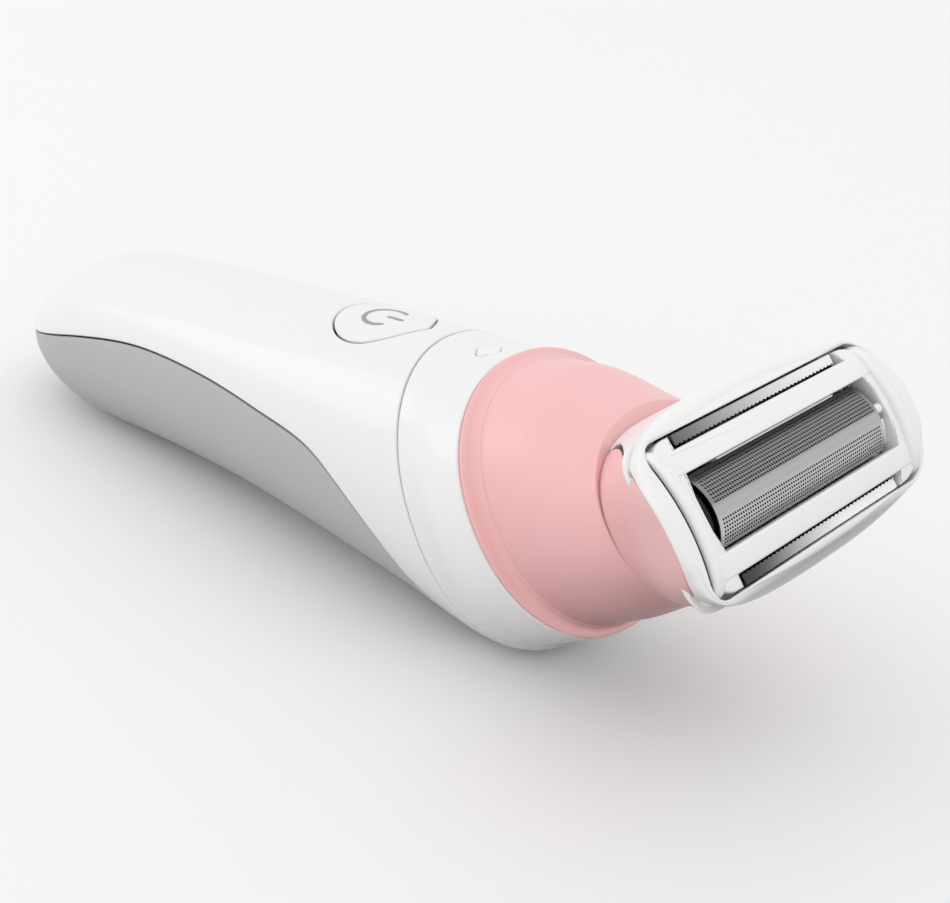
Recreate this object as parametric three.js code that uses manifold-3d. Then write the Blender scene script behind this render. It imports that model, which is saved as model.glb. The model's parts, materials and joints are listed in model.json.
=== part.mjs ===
// Cordless foil shaver for legs and body, lying on its back with the foil facing forwards and up.
// Millimetres, +Z up, +X from the tail to the shaving head, +Y to the left of the handle.
//
// Two working frames are nested in the resting pose:
//   handle frame: x runs from the tail to the foil crest, z points out of the button side.
//   head frame:   z is square to the shaving face, y along the foil, x towards the underside.
// The drive frame has z along the motor shaft and its origin on the lever's pivot.

import * as THREE from 'three';
import Module from 'manifold-3d';
import { mergeVertices } from 'three/addons/utils/BufferGeometryUtils.js';

const wasm = await Module();
wasm.setup();

// ---------------------------------------------------------------- driving dimensions, mm and degrees

const GRIP_LENGTH = 111; // tail tip to the parting line, on the axis
const COLLAR_LENGTH = 13.6; // parting line to the pink seam, on the axis
const SECTION_POWER = 2.12; // exponent of the body's superelliptic sections
const TAIL_ROUND = 23; // length of the rounded tail
const TAIL_POWER = 2.13; // exponent of the tail's rounding
const SHELL_WALL = 1.8;
const SEAM_GAP = 0.3; // between fixed pieces that meet
const LAND_DEPTH = 0.15; // how much the two resting lands are cut off the round underside

const HEAD_ANGLE = 35.7; // shaving direction above the handle's axis
const HEAD_REACH = 36.8; // pink seam to the foil crest, along the handle
const HEAD_HEIGHT = 15.55; // foil crest above the handle's axis
const HEAD_WIDTH = 55.2;
const HEAD_THICKNESS = 26;
const HEAD_DEPTH = 20.5; // foil crest to the foot of the head
const HEAD_FOOT_WIDTH = 31.6;
const HEAD_FOOT_THICKNESS = 25.6;
const HEAD_POWER = 3.8; // exponent of the head's outline at the face
const OVAL_POWER = 2.3; // exponent of its outline at the foot, and of the plug and socket
const HEAD_WALL = 1.6;
const HEAD_BULGE = 0.12; // how far the head's sides swell out between foot and face
const FACE_BOW = 0.019; // the face falls by this times the square of the distance from its middle
const DOOR_TOP = 0.5; // the release tab's arched seam starts this far below the crest
const DOOR_THICKNESS = 24; // width of the arched seam at the foot
const DOOR_POWER = 2.6; // exponent of the arch
const DOOR_START = 9; // the tabs' inner ends from the middle of the head
const TAB_PRESS = 2; // degrees that a release tab swings inwards

const RECESS_WIDTH = 48.8;
const RECESS_THICKNESS = 20.4;
const RECESS_WALL = 0.8;
const FRAME_RIM_WIDTH = 2; // raised rim at each end of the inner frame
const FRAME_RIM_HEIGHT = 0.7;
const FRAME_THICKNESS = 3.4;
const FOIL_WINDOW_WIDTH = 41.9;
const FOIL_WINDOW_THICKNESS = 10.2;
const TRIMMER_SLOT_WIDTH = 36.8;
const TRIMMER_SLOT_INNER = 8.2; // distance of the trimmer slots' inner edges from the middle

const FOIL_RADIUS = 6.5;
const FOIL_SHEET = 0.4;
const FOIL_DROP = 0.3; // crest of the foil below the crest of the face
const FOIL_FLOAT = 1.2;
const CUTTER_STROKE = 1;
const RUN_GAP = 0.3; // between pieces that move past each other

const PLUG_WIDTH = 22; // oval plug on the neck that carries the head
const PLUG_THICKNESS = 17.2;
const PLUG_LENGTH = 3.6;
const HEAD_TRAVEL = 24;

const DRIVE_ANGLE = 18; // motor shaft above the handle's axis
const PIVOT_DEPTH = 27.6; // lever pivot below the foil crest, along the shaving direction
const ARM_OFFSET = -2.5; // the lever's arm from the middle of the head, along the head's x
const ARM_SIZE = 3;
const CRANK_THROW = 0.55;
const CRANK_PIN_RADIUS = 0.75;
const CRANK_DEPTH = 8.5; // middle of the crank pin behind the lever's pivot
const PIVOT_RADIUS = 1;
const MOTOR_RADIUS = 7.75;
const MOTOR_LENGTH = 20;
const MOTOR_FACE = 15.6; // motor's front face behind the lever's pivot

const CELL_RADIUS = 7.1;
const CELL_LENGTH = 49;
const CELL_TAIL = 15.5; // rear end of the cell in front of the tail tip
const JACK_RADIUS = 2.1;
const BUTTON_LENGTH = 17;
const BUTTON_RADIUS = 7.9;
const BUTTON_BACK = 37; // middle of the button behind the pink seam
const BUTTON_THICKNESS = 1.4;
const BUTTON_TRAVEL = 0.4;
const LIGHT_LENGTH = 3; // straight part of the charge light's window
const LIGHT_RADIUS = 0.8;
const COLLAR_TOP_LEAN = 9; // the collar's top lies this far behind its axis point

const SCREW_RADIUS = 0.9;
const SCREW_PLACE = 14.5; // frame screws to each side of the motor shaft
const BOSS_START = 12.5;
const END_CAP_LENGTH = 2.2;
const LEAD_RADIUS = 0.6;

const PLUG_SHIFT = -0.5; // the neck's plug from the middle of the head
const SLEEVE_WIDTH = 25.2;
const SLEEVE_THICKNESS = 20.4;
const BASE_TOP = -14.2; // top of the head's base plate below the crest
const ARM_TOP = -10.4; // top of the lever's arm below the crest
const HEAD_RIM = 0.7; // the face's edge is rounded from this far below the crest
const SEAL_SHEET = 0.8;
const CELL_LIFT = 1.6; // cell's axis above the handle's
const TRAY_SHEET = 1.2;
const BOARD_LIFT = 9; // board's underside above the handle's axis
const BOARD_SHEET = 1.2;
const JACK_DEPTH = 9.5;
const HUB_REACH = 3.4; // half length of the lever's hub
const LUG_REACH = 5.4; // outer faces of the lugs that hold the lever's pin
const SHAFT_RADIUS = 1;
const HEAD_FLOOR = 1.6;
const FOIL_FRAME_LOW = -8.5; // underside of the foil's carrier frame
const CUTTER_LOW = -6; // underside of the cutter's blades
const POST_PLACE = 2; // drive post's x
const STRIP_LOW = -5.2; // underside of the trimmers' strips
const TAB_SPRING_LENGTH = 3.2;
const BUTTON_PLACE = 4.37; // place of the button's middle along the handle's sections

// ---------------------------------------------------------------- colours and finishes

const finish = (color, roughness, metalness = 0) => ({ color, roughness, metalness });
const WHITE = finish(0xf6f6f6, 0.25);
const GREY = finish(0xa9a9a9, 0.6);
const PINK = finish(0xf2b8b8, 0.3);
const INNER = finish(0xd8d8d4, 0.6);
const STEEL = finish(0xc4c6c8, 0.3, 1);
const FOIL = finish(0x9a9a9c, 0.35, 1);
const BOARD = finish(0x1f5a38, 0.5);
const DARK = finish(0x2a2a2c, 0.6);
const CELL = finish(0x4c6f9e, 0.4);
const LENS = finish(0xd9dadb, 0.15);
const COPPER = finish(0xb5543a, 0.45);

// ---------------------------------------------------------------- solids

/** Closed three.js geometry as a solid. */
function solidOf(geometry) {
  const bare = geometry.index ? geometry.toNonIndexed() : geometry.clone();
  bare.deleteAttribute('normal');
  bare.deleteAttribute('uv');
  const merged = mergeVertices(bare, 1e-4);
  return new wasm.Manifold(new wasm.Mesh({
    numProp: 3,
    vertProperties: merged.attributes.position.array,
    triVerts: new Uint32Array(merged.index.array),
  }));
}

/** Box from its lowest to its highest corner. */
function box(low, high) {
  const size = high.map((value, k) => value - low[k]);
  const geometry = new THREE.BoxGeometry(...size);
  geometry.translate(...low.map((value, k) => value + size[k] / 2));
  return solidOf(geometry);
}

/** Two copies of a box, one at each side of y = 0. */
function boxPair(low, high) {
  const mirrored = box([low[0], -high[1], low[2]], [high[0], -low[1], high[2]]);
  return box(low, high).add(mirrored);
}

/** Round rod between two points. */
function rod(radius, from, to, sides = 20) {
  const start = new THREE.Vector3(...from);
  const run = new THREE.Vector3(...to).sub(start);
  const geometry = new THREE.CylinderGeometry(radius, radius, run.length(), sides);
  geometry.translate(0, run.length() / 2, 0);
  const up = new THREE.Vector3(0, 1, 0);
  geometry.applyQuaternion(new THREE.Quaternion().setFromUnitVectors(up, run.normalize()));
  geometry.translate(...from);
  return solidOf(geometry);
}

/** Flat outline drawn in x and y, carried from one height to another. */
function prism(shape, low, high, curveSegments = 8) {
  const depth = high - low;
  const geometry = new THREE.ExtrudeGeometry(shape, { depth, bevelEnabled: false, curveSegments });
  geometry.translate(0, 0, low);
  return solidOf(geometry);
}

/** Outline drawn in x and z (as x and y), carried along y from -reach to reach. */
function sideProfile(points, reach) {
  const shape = new THREE.Shape(points.map(([x, z]) => new THREE.Vector2(x, z)));
  const geometry = new THREE.ExtrudeGeometry(shape, { depth: 2 * reach, bevelEnabled: false });
  geometry.translate(0, 0, -reach);
  geometry.rotateX(Math.PI / 2);
  return solidOf(geometry);
}

/** Solid skin through closed rings of points, with a fan at each end. */
function skin(rings) {
  const sides = rings[0].length;
  const positions = rings.flat().flatMap((point) => point.toArray());
  const faces = [];
  for (let i = 0; i < rings.length - 1; i += 1) {
    for (let j = 0; j < sides; j += 1) {
      const a = i * sides + j;
      const b = i * sides + (j + 1) % sides;
      faces.push(a, b, b + sides, a, b + sides, a + sides);
    }
  }
  const middleOf = (ring) => ring.reduce((sum, point) => sum.add(point), new THREE.Vector3())
    .divideScalar(sides);
  positions.push(...middleOf(rings[0]).toArray(), ...middleOf(rings[rings.length - 1]).toArray());
  const first = rings.length * sides;
  const lastRing = first - sides;
  for (let j = 0; j < sides; j += 1) {
    const next = (j + 1) % sides;
    faces.push(first, next, j, first + 1, lastRing + j, lastRing + next);
  }
  return new wasm.Manifold(new wasm.Mesh({
    numProp: 3,
    vertProperties: new Float32Array(positions),
    triVerts: new Uint32Array(faces),
  }));
}

/** Point at an angle on a superellipse: |x/a|^m + |y/b|^m = 1. */
function ovalPoint(a, b, power, angle) {
  const swell = (value) => Math.sign(value) * Math.abs(value) ** (2 / power);
  return [a * swell(Math.sin(angle)), b * swell(Math.cos(angle))];
}

/** Oval prism in the head frame: half sizes along y and x, centred at x = middle. */
function ovalPrism(halfWidth, halfThickness, low, high, middle = 0, sides = 32) {
  const ringAt = (z) => Array.from({ length: sides }, (_, j) => {
    const [y, x] = ovalPoint(halfWidth, halfThickness, OVAL_POWER, 2 * Math.PI * j / sides);
    return new THREE.Vector3(middle - x, y, z);
  }).reverse();
  return skin([ringAt(low), ringAt(high)]);
}

/** Rectangle with rounded corners in the head frame: x is its thickness and y its width. */
function roundedPlate(width, thickness, radius) {
  const x = thickness / 2;
  const y = width / 2;
  const shape = new THREE.Shape();
  shape.moveTo(-x + radius, -y);
  shape.lineTo(x - radius, -y);
  shape.absarc(x - radius, -y + radius, radius, -Math.PI / 2, 0);
  shape.lineTo(x, y - radius);
  shape.absarc(x - radius, y - radius, radius, 0, Math.PI / 2);
  shape.lineTo(-x + radius, y);
  shape.absarc(-x + radius, y - radius, radius, Math.PI / 2, Math.PI);
  shape.lineTo(-x, -y + radius);
  shape.absarc(-x + radius, -y + radius, radius, Math.PI, 1.5 * Math.PI);
  return shape;
}

/** Helical spring between two points, with its wire as a tube along the helix. */
class Helix extends THREE.Curve {
  constructor(radius, length, turns) {
    super();
    Object.assign(this, { radius, length, turns });
  }

  getPoint(t, target = new THREE.Vector3()) {
    const angle = 2 * Math.PI * this.turns * t;
    return target.set(this.radius * Math.cos(angle), this.radius * Math.sin(angle), this.length * t);
  }
}

function spring(radius, wire, length, turns) {
  const section = new THREE.Shape();
  section.absarc(0, 0, wire / 2, 0, 2 * Math.PI);
  return new THREE.ExtrudeGeometry(section, {
    steps: Math.round(8 * turns),
    curveSegments: 3,
    extrudePath: new Helix(radius, length, turns),
  });
}

// ---------------------------------------------------------------- frames

const degrees = (angle) => THREE.MathUtils.degToRad(angle);
const TAIL_X = -(GRIP_LENGTH + COLLAR_LENGTH + HEAD_REACH);
const SEAM_X = -HEAD_REACH;

const headTurn = degrees(90 - HEAD_ANGLE);
const headMatrix = new THREE.Matrix4().makeRotationY(headTurn).setPosition(0, 0, HEAD_HEIGHT);
const pivot = new THREE.Vector3(ARM_OFFSET, 0, -PIVOT_DEPTH).applyMatrix4(headMatrix);
const driveMatrix = new THREE.Matrix4().makeRotationY(degrees(90 - DRIVE_ANGLE)).setPosition(pivot);
const headToDrive = driveMatrix.clone().invert().multiply(headMatrix);

/** Copy of a solid seen from another frame. */
const moved = (solid, matrix) => solid.transform(matrix.elements);

// ---------------------------------------------------------------- body surfaces

// Sections of the handle from the tail to the pink seam. "at" is 0 at the tail, 1 at the parting
// line and 2 at the seam; lift raises the centre, tilt leans the section back, then half sizes.
const HANDLE_SECTIONS = [
  { at: 0, lift: 1.5, tilt: 0, width: 15.6, height: 10 },
  { at: 0.19, lift: 1.7, tilt: 1, width: 15.9, height: 14.6 },
  { at: 0.38, lift: 2, tilt: 4, width: 16.3, height: 16 },
  { at: 0.56, lift: 1.4, tilt: 8, width: 17, height: 17 },
  { at: 0.73, lift: 0, tilt: 13, width: 17.9, height: 19 },
  { at: 0.88, lift: -1.8, tilt: 18.6, width: 18.5, height: 21.5 },
  { at: 1, lift: -3.5, tilt: 23.5, width: 19, height: 24.1 },
  { at: 1.57, lift: -1.9, tilt: 26.5, width: 21, height: 22 },
  { at: 2, lift: 0.3, tilt: 30, width: 20.7, height: 21 },
];

// Sections of the pink neck from the seam to the head, placed by their distance from the seam.
const NECK_SECTIONS = [
  { from_seam: 0.3, lift: 0.3, tilt: 30, width: 20.5, height: 21.2 },
  { from_seam: 1.8, lift: 0.8, tilt: 30, width: 18, height: 19.5 },
  { from_seam: 8.6, lift: 2.8, tilt: 31.7, width: 17.2, height: 18.1 },
  { from_seam: 15.3, lift: 3.9, tilt: 33.9, width: 16.2, height: 15.2 },
  { from_seam: 22.1, lift: 5, tilt: 36, width: 15.4, height: 12.4 },
];
const BAND_LINE = 1; // neck section where the band meets the dome

const sectionRows = (sections, placeX) => sections
  .map((s) => [placeX(s), s.lift, s.tilt, s.width, s.height]);
const HANDLE_ROWS = sectionRows(HANDLE_SECTIONS, ({ at }) => (at <= 1
  ? TAIL_X + GRIP_LENGTH * at
  : SEAM_X - COLLAR_LENGTH * (2 - at)));
const NECK_ROWS = sectionRows(NECK_SECTIONS, ({ from_seam: reach }) => SEAM_X + reach);
const PARTING = HANDLE_SECTIONS.findIndex(({ at }) => at === 1);
const SEAM = HANDLE_SECTIONS.length - 1;

/** Row between two rows, on a Catmull-Rom curve through them all. */
function rowAt(rows, t) {
  const last = rows.length - 1;
  const i = Math.min(Math.max(Math.floor(t), 0), last - 1);
  const u = t - i;
  const beyond = (end, next) => end.map((value, k) => 2 * value - next[k]);
  const p = i > 0 ? rows[i - 1] : beyond(rows[0], rows[1]);
  const [q, r] = [rows[i], rows[i + 1]];
  const s = i + 2 <= last ? rows[i + 2] : beyond(rows[last], rows[last - 1]);
  return q.map((value, k) => 0.5 * (2 * value + (r[k] - p[k]) * u
    + (2 * p[k] - 5 * value + 4 * r[k] - s[k]) * u ** 2
    + (3 * (value - r[k]) + s[k] - p[k]) * u ** 3));
}

/** Ring of the body's skin at a place along the rows, set in by a wall. */
function bodyRing(rows, t, inset, rounded, sides = 24) {
  const [x, lift, tilt, width, height] = rowAt(rows, t);
  const along = Math.min(Math.max((x - TAIL_X - inset) / TAIL_ROUND, 0), 1);
  const nose = rounded ? (1 - (1 - along) ** TAIL_POWER) ** (1 / TAIL_POWER) : 1;
  return Array.from({ length: sides }, (_, j) => {
    const angle = 2 * Math.PI * (j + 0.5) / sides;
    const [y, z] = ovalPoint((width - inset) * nose, (height - inset) * nose, SECTION_POWER, angle);
    return new THREE.Vector3(
      x - z * Math.sin(degrees(tilt)),
      y,
      lift + z * Math.cos(degrees(tilt)),
    );
  });
}

/** Solid of a stretch of the body, set in by a wall, from one place along the rows to another. */
function bodyStretch(rows, from, to, inset = 0, rounded = false) {
  const steps = Math.ceil((to - from) * 2);
  const places = Array.from({ length: steps + 1 }, (_, i) => from + (to - from) * i / steps);
  return skin(places.map((t) => bodyRing(rows, t, inset, rounded)).reverse());
}

/** Place along the handle's first span at which its x is a given distance past the tail. */
const tailPlace = (distance) => distance / (GRIP_LENGTH * HANDLE_SECTIONS[1].at);

/** Rounded handle from the tail to a place along the rows, set in by a wall. */
function handleSolid(to, inset = 0) {
  const nose = [0.1, 0.5, 1.5, 3.5, 6].map((distance) => tailPlace(inset + distance));
  const rest = [];
  for (let t = 0.5; t < to - 0.1; t += 0.5) rest.push(t);
  return skin([...nose, ...rest, to].map((t) => bodyRing(HANDLE_ROWS, t, inset, true)).reverse());
}

// The line between the white shell and the grey grip, seen from the side, as fractions of the grip's
// length from the tail and heights.
const GRIP_LINE = [
  [-0.02, 0.4], [0.085, 2.9], [0.24, 6.3], [0.39, 8.2], [0.545, 7.6], [0.68, 5.6],
  [0.79, 3], [0.865, -2.3], [0.925, -8.3], [0.98, -16], [1.02, -22], [1.06, -28],
];

/** Everything below the grip line, moved off the line by a shift. */
function belowGripLine(shift) {
  const curve = new THREE.CatmullRomCurve3(GRIP_LINE.map(([at, z]) => (
    new THREE.Vector3(TAIL_X + GRIP_LENGTH * at + shift, 0, z + shift))), false, 'catmullrom', 0.5);
  const edge = curve.getPoints(2 * (GRIP_LINE.length - 1)).map(({ x, z }) => [x, z]);
  const corners = [[TAIL_X - 20, -60], [edge[edge.length - 1][0], -60]];
  return sideProfile([...corners, ...edge.reverse(), [TAIL_X - 20, 0]], 40);
}

// ---------------------------------------------------------------- resting pose

/** Longest straight edge under the body: it stands on the two ends of this line. */
function restingLine() {
  const under = [];
  for (let t = 0; t <= SEAM; t += 0.02) {
    const lowest = bodyRing(HANDLE_ROWS, t, 0, true).reduce((low, point) => (point.z < low.z ? point : low));
    under.push(lowest.setY(0));
  }
  const hull = [];
  const turns = (a, b, c) => (b.x - a.x) * (c.z - a.z) - (b.z - a.z) * (c.x - a.x);
  under.sort((a, b) => a.x - b.x).forEach((point) => {
    while (hull.length > 1 && turns(hull[hull.length - 2], hull[hull.length - 1], point) <= 0) hull.pop();
    hull.push(point);
  });
  const edges = hull.slice(1).map((point, i) => [hull[i], point]);
  return edges.reduce((long, edge) => (edge[1].x - edge[0].x > long[1].x - long[0].x ? edge : long));
}

const [restTail, restBelly] = restingLine();
const restPitch = Math.atan2(restBelly.z - restTail.z, restBelly.x - restTail.x);
const pitchMatrix = new THREE.Matrix4().makeRotationY(restPitch);
const restHeight = restTail.clone().applyMatrix4(pitchMatrix).z;

/** The ground as a block in the handle frame, a little above the lowest points. */
const ground = moved(
  box([-250, -60, restHeight - 30], [60, 60, restHeight + LAND_DEPTH]),
  pitchMatrix.clone().invert(),
);

// ---------------------------------------------------------------- handle

/** Teardrop outline of the power button, its round end to the tail and its tip to the head. */
function buttonOutline(clearance) {
  const radius = BUTTON_RADIUS + clearance;
  const middle = SEAM_X - BUTTON_BACK;
  const tip = middle + BUTTON_LENGTH - BUTTON_RADIUS + 2 * clearance;
  const shape = new THREE.Shape();
  shape.absarc(middle, 0, radius, 0.4 * Math.PI, 1.6 * Math.PI);
  shape.quadraticCurveTo(middle + radius * 0.8, -radius * 0.75, tip, 0);
  shape.quadraticCurveTo(middle + radius * 0.8, radius * 0.75, middle + radius * Math.cos(0.4 * Math.PI),
    radius * Math.sin(0.4 * Math.PI));
  return shape;
}

const JACK_LIFT = HANDLE_SECTIONS[0].lift;
const partingStop = PARTING - 0.03; // leaves the seam's gap to the collar

function handleShell() {
  const jackHole = rod(JACK_RADIUS + 2 * SEAM_GAP, [TAIL_X - 5, 0, JACK_LIFT], [TAIL_X + 8, 0, JACK_LIFT]);
  return handleSolid(partingStop)
    .subtract(handleSolid(PARTING, SHELL_WALL))
    .subtract(jackHole)
    .subtract(ground);
}

function topShell() {
  return handleShell()
    .subtract(belowGripLine(SEAM_GAP / 2))
    .subtract(prism(buttonOutline(SEAM_GAP), 0, 60));
}

const rearGrip = () => handleShell().intersect(belowGripLine(-SEAM_GAP / 2));

const boardX = SEAM_X - BUTTON_BACK; // the switch stands under the middle of the button
const buttonTop = bodyRing(HANDLE_ROWS, BUTTON_PLACE, 0, true)
  .reduce((high, point) => Math.max(high, point.z), 0);

function powerButton() {
  return handleSolid(PARTING)
    .subtract(handleSolid(PARTING, BUTTON_THICKNESS))
    .intersect(prism(buttonOutline(0), 0, 60));
}

function buttonSeal() {
  const inset = SHELL_WALL + SEAM_GAP + 0.1;
  return handleSolid(PARTING, inset)
    .subtract(handleSolid(PARTING, inset + SEAL_SHEET))
    .intersect(box([boardX - 10, -9, 5], [boardX + 11, 9, 60]));
}

/** Small capsule of the charge light, let into the collar's top. */
function chargeLightShape(clearance) {
  const middle = SEAM_X - COLLAR_LENGTH / 2 - COLLAR_TOP_LEAN;
  const half = LIGHT_LENGTH / 2;
  const shape = new THREE.Shape();
  shape.absarc(middle, half, LIGHT_RADIUS + clearance, 0, Math.PI);
  shape.absarc(middle, -half, LIGHT_RADIUS + clearance, Math.PI, 2 * Math.PI);
  return prism(shape, 0, 60);
}

const collarEnd = SEAM - 0.03;

const chargeLight = () => bodyStretch(HANDLE_ROWS, PARTING, collarEnd)
  .subtract(bodyStretch(HANDLE_ROWS, PARTING - 0.1, SEAM, SHELL_WALL - 0.4))
  .intersect(chargeLightShape(0));

function collarRing() {
  const outside = bodyStretch(HANDLE_ROWS, PARTING, collarEnd);
  const inside = bodyStretch(HANDLE_ROWS, PARTING - 0.1, SEAM + 0.1, SHELL_WALL);
  const bosses = moved(
    boxPair([-2.5, BOSS_START, -MOTOR_FACE - 6], [2.5, 30, -MOTOR_FACE]),
    driveMatrix,
  ).intersect(bodyStretch(HANDLE_ROWS, PARTING, collarEnd, SHELL_WALL / 2));
  const screwHoles = [-1, 1].map((side) => moved(
    rod(SCREW_RADIUS + SEAM_GAP, [0, side * SCREW_PLACE, -MOTOR_FACE - 5], [0, side * SCREW_PLACE, 0], 10),
    driveMatrix,
  ));
  return outside.subtract(inside)
    .add(bosses)
    .subtract(screwHoles[0])
    .subtract(screwHoles[1])
    .subtract(chargeLightShape(SEAM_GAP))
    .subtract(ground);
}

// ---------------------------------------------------------------- neck

const inHandle = (solid) => moved(solid, headMatrix);
const NECK_END = NECK_SECTIONS.length - 1;
const neckTop = -HEAD_DEPTH - SEAM_GAP; // height of the neck's shoulder in the head frame

const neckBand = () => bodyStretch(NECK_ROWS, 0, BAND_LINE - 0.2)
  .subtract(bodyStretch(NECK_ROWS, -0.2, BAND_LINE + 0.2, SHELL_WALL));

function neckDome() {
  const above = (height) => inHandle(box([-60, -60, height], [60, 60, 60]));
  const outside = bodyStretch(NECK_ROWS, BAND_LINE, NECK_END).subtract(above(neckTop));
  const inside = bodyStretch(NECK_ROWS, BAND_LINE - 0.2, NECK_END, SHELL_WALL)
    .subtract(above(neckTop - SHELL_WALL));
  const plug = ovalPrism(PLUG_WIDTH / 2, PLUG_THICKNESS / 2, neckTop - 1, neckTop + PLUG_LENGTH, PLUG_SHIFT);
  return outside.subtract(inside)
    .add(inHandle(plug))
    .subtract(inHandle(armWay(neckTop - SHELL_WALL - 2, neckTop + PLUG_LENGTH + 1)));
}

/** Room for the lever's arm through the neck, plug and seal. */
function armWay(low, high) {
  const swing = CUTTER_STROKE + RUN_GAP;
  const half = ARM_SIZE / 2;
  const reach = half + RUN_GAP;
  return box([ARM_OFFSET - reach, -half - swing, low], [ARM_OFFSET + reach, half + swing, high]);
}

function driveSeal() {
  const top = neckTop - SHELL_WALL - SEAM_GAP;
  return ovalPrism(4.6, 3.4, top - 1, top, ARM_OFFSET, 20).subtract(armWay(top - 2, top + 1));
}

// ---------------------------------------------------------------- inside the handle

/** Space inside the shells, with a gap to their walls. */
const handleRoom = () => handleSolid(PARTING, SHELL_WALL + SEAM_GAP);

const cellBack = TAIL_X + CELL_TAIL;
const cellFront = cellBack + CELL_LENGTH;
const trayTop = CELL_LIFT - CELL_RADIUS - SEAM_GAP;
const boardBack = cellFront + 4;
const boardFront = boardX + 9;

function chassis() {
  const tray = box([cellBack - 3, -9, trayTop - TRAY_SHEET], [boardFront - 4, 9, trayTop]);
  const backStop = box([cellBack - 3, -5, trayTop - 0.5], [cellBack - 1.8, 5, CELL_LIFT - 2]);
  const frontStop = box([cellFront + 1.8, -5, trayTop - 0.5], [cellFront + 3, 5, CELL_LIFT + 3]);
  const postTop = BOARD_LIFT - SEAM_GAP;
  const post = (x) => box([x, -1.5, trayTop - 0.5], [x + 2.5, 1.5, postTop]);
  const posts = [post(boardBack + 2), post(boardFront - 7)];
  return [backStop, frontStop, ...posts]
    .reduce((whole, piece) => whole.add(piece), tray)
    .intersect(handleRoom());
}

const batteryCell = () => rod(CELL_RADIUS, [cellBack, 0, CELL_LIFT], [cellFront, 0, CELL_LIFT], 28);
const contactPlate = (x) => box([x, -4, CELL_LIFT - 4], [x + 0.5, 4, CELL_LIFT + 4]);
const circuitBoard = () => box([boardBack, -7, BOARD_LIFT], [boardFront, 7, BOARD_LIFT + BOARD_SHEET]);

function powerSwitch() {
  const foot = BOARD_LIFT + BOARD_SHEET + SEAM_GAP;
  const body = box([boardX - 3, -3, foot], [boardX + 3, 3, foot + 2]);
  return body.add(rod(1.4, [boardX, 0, foot + 1.5], [boardX, 0, foot + 2.8], 12));
}

function chargeSocket() {
  const nose = TAIL_X + 1.2;
  const body = rod(JACK_RADIUS + 1.3, [nose + 3, 0, JACK_LIFT], [TAIL_X + JACK_DEPTH + 2, 0, JACK_LIFT])
    .intersect(handleRoom());
  const bore = rod(JACK_RADIUS, [TAIL_X - 5, 0, JACK_LIFT], [TAIL_X + JACK_DEPTH, 0, JACK_LIFT]);
  return body.subtract(bore);
}

const pinEnd = TAIL_X + JACK_DEPTH - SEAM_GAP;
const chargePin = () => rod(0.6, [TAIL_X + 4, 0, JACK_LIFT], [pinEnd, 0, JACK_LIFT], 12);

/** Insulated wire from the board down to the motor's end cap. */
function motorLead(side) {
  const behind = MOTOR_FACE + MOTOR_LENGTH + END_CAP_LENGTH + 2 * SEAM_GAP + 0.2;
  const end = new THREE.Vector3(0, side * 3, -behind).applyMatrix4(driveMatrix);
  const path = new THREE.CatmullRomCurve3([
    new THREE.Vector3(boardFront - 1.5, side * 4, BOARD_LIFT - SEAM_GAP),
    new THREE.Vector3(boardFront - 1.5, side * 4, BOARD_LIFT - 7),
    new THREE.Vector3(boardFront, side * 3.5, end.z + 3),
    end,
  ]);
  const section = new THREE.Shape();
  section.absarc(0, 0, LEAD_RADIUS, 0, 2 * Math.PI);
  return new THREE.ExtrudeGeometry(section, { steps: 16, curveSegments: 4, extrudePath: path });
}

// ---------------------------------------------------------------- drive, in the drive frame

const plateBack = -MOTOR_FACE + SEAM_GAP;
const plateFront = plateBack + 2;
const pinHole = (clearance) => rod(PIVOT_RADIUS + clearance, [-20, 0, 0], [20, 0, 0], 16);
const fork = {
  low: -CRANK_DEPTH - 2.2,
  high: -CRANK_DEPTH + 2.8,
  inner: 2 * CRANK_THROW + CRANK_PIN_RADIUS + 0.15,
};

function driveFrame() {
  const plate = box([-13, -17.5, plateBack], [12, 17.5, plateFront]);
  const lugs = [-1, 1].map((side) => {
    const [inner, outer] = [HUB_REACH + RUN_GAP, LUG_REACH].map((reach) => reach * side);
    return box([Math.min(inner, outer), -3, plateFront - 0.5], [Math.max(inner, outer), 3, 2.2]);
  });
  const shaftHole = rod(1.9, [0, 0, plateBack - 1], [0, 0, plateFront + 1]);
  const screwHoles = [-SCREW_PLACE, SCREW_PLACE]
    .map((y) => rod(SCREW_RADIUS + SEAM_GAP, [0, y, plateBack - 1], [0, y, plateFront + 1], 10));
  const toDrive = driveMatrix.clone().invert();
  const inset = SHELL_WALL + 2 * SEAM_GAP;
  const room = bodyStretch(HANDLE_ROWS, PARTING, SEAM, inset)
    .add(bodyStretch(NECK_ROWS, -0.2, NECK_END, inset));
  return plate.intersect(moved(room, toDrive))
    .add(lugs[0])
    .add(lugs[1])
    .subtract(shaftHole)
    .subtract(screwHoles[0])
    .subtract(screwHoles[1])
    .subtract(pinHole(SEAM_GAP));
}

function frameScrew(side) {
  const y = side * SCREW_PLACE;
  const head = plateFront + SEAM_GAP;
  return rod(SCREW_RADIUS, [0, y, head - 5], [0, y, head + 0.5], 10)
    .add(rod(SCREW_RADIUS * 1.8, [0, y, head], [0, y, head + 1.2], 14));
}

const motorEnd = -MOTOR_FACE - MOTOR_LENGTH;

const motorCan = () => rod(MOTOR_RADIUS, [0, 0, motorEnd], [0, 0, -MOTOR_FACE], 28)
  .subtract(rod(SHAFT_RADIUS + RUN_GAP, [0, 0, -MOTOR_FACE - 4], [0, 0, 0], 16));
const motorEndCap = () => rod(MOTOR_RADIUS - 0.4, [0, 0, motorEnd - SEAM_GAP - END_CAP_LENGTH],
  [0, 0, motorEnd - SEAM_GAP], 28);

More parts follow.
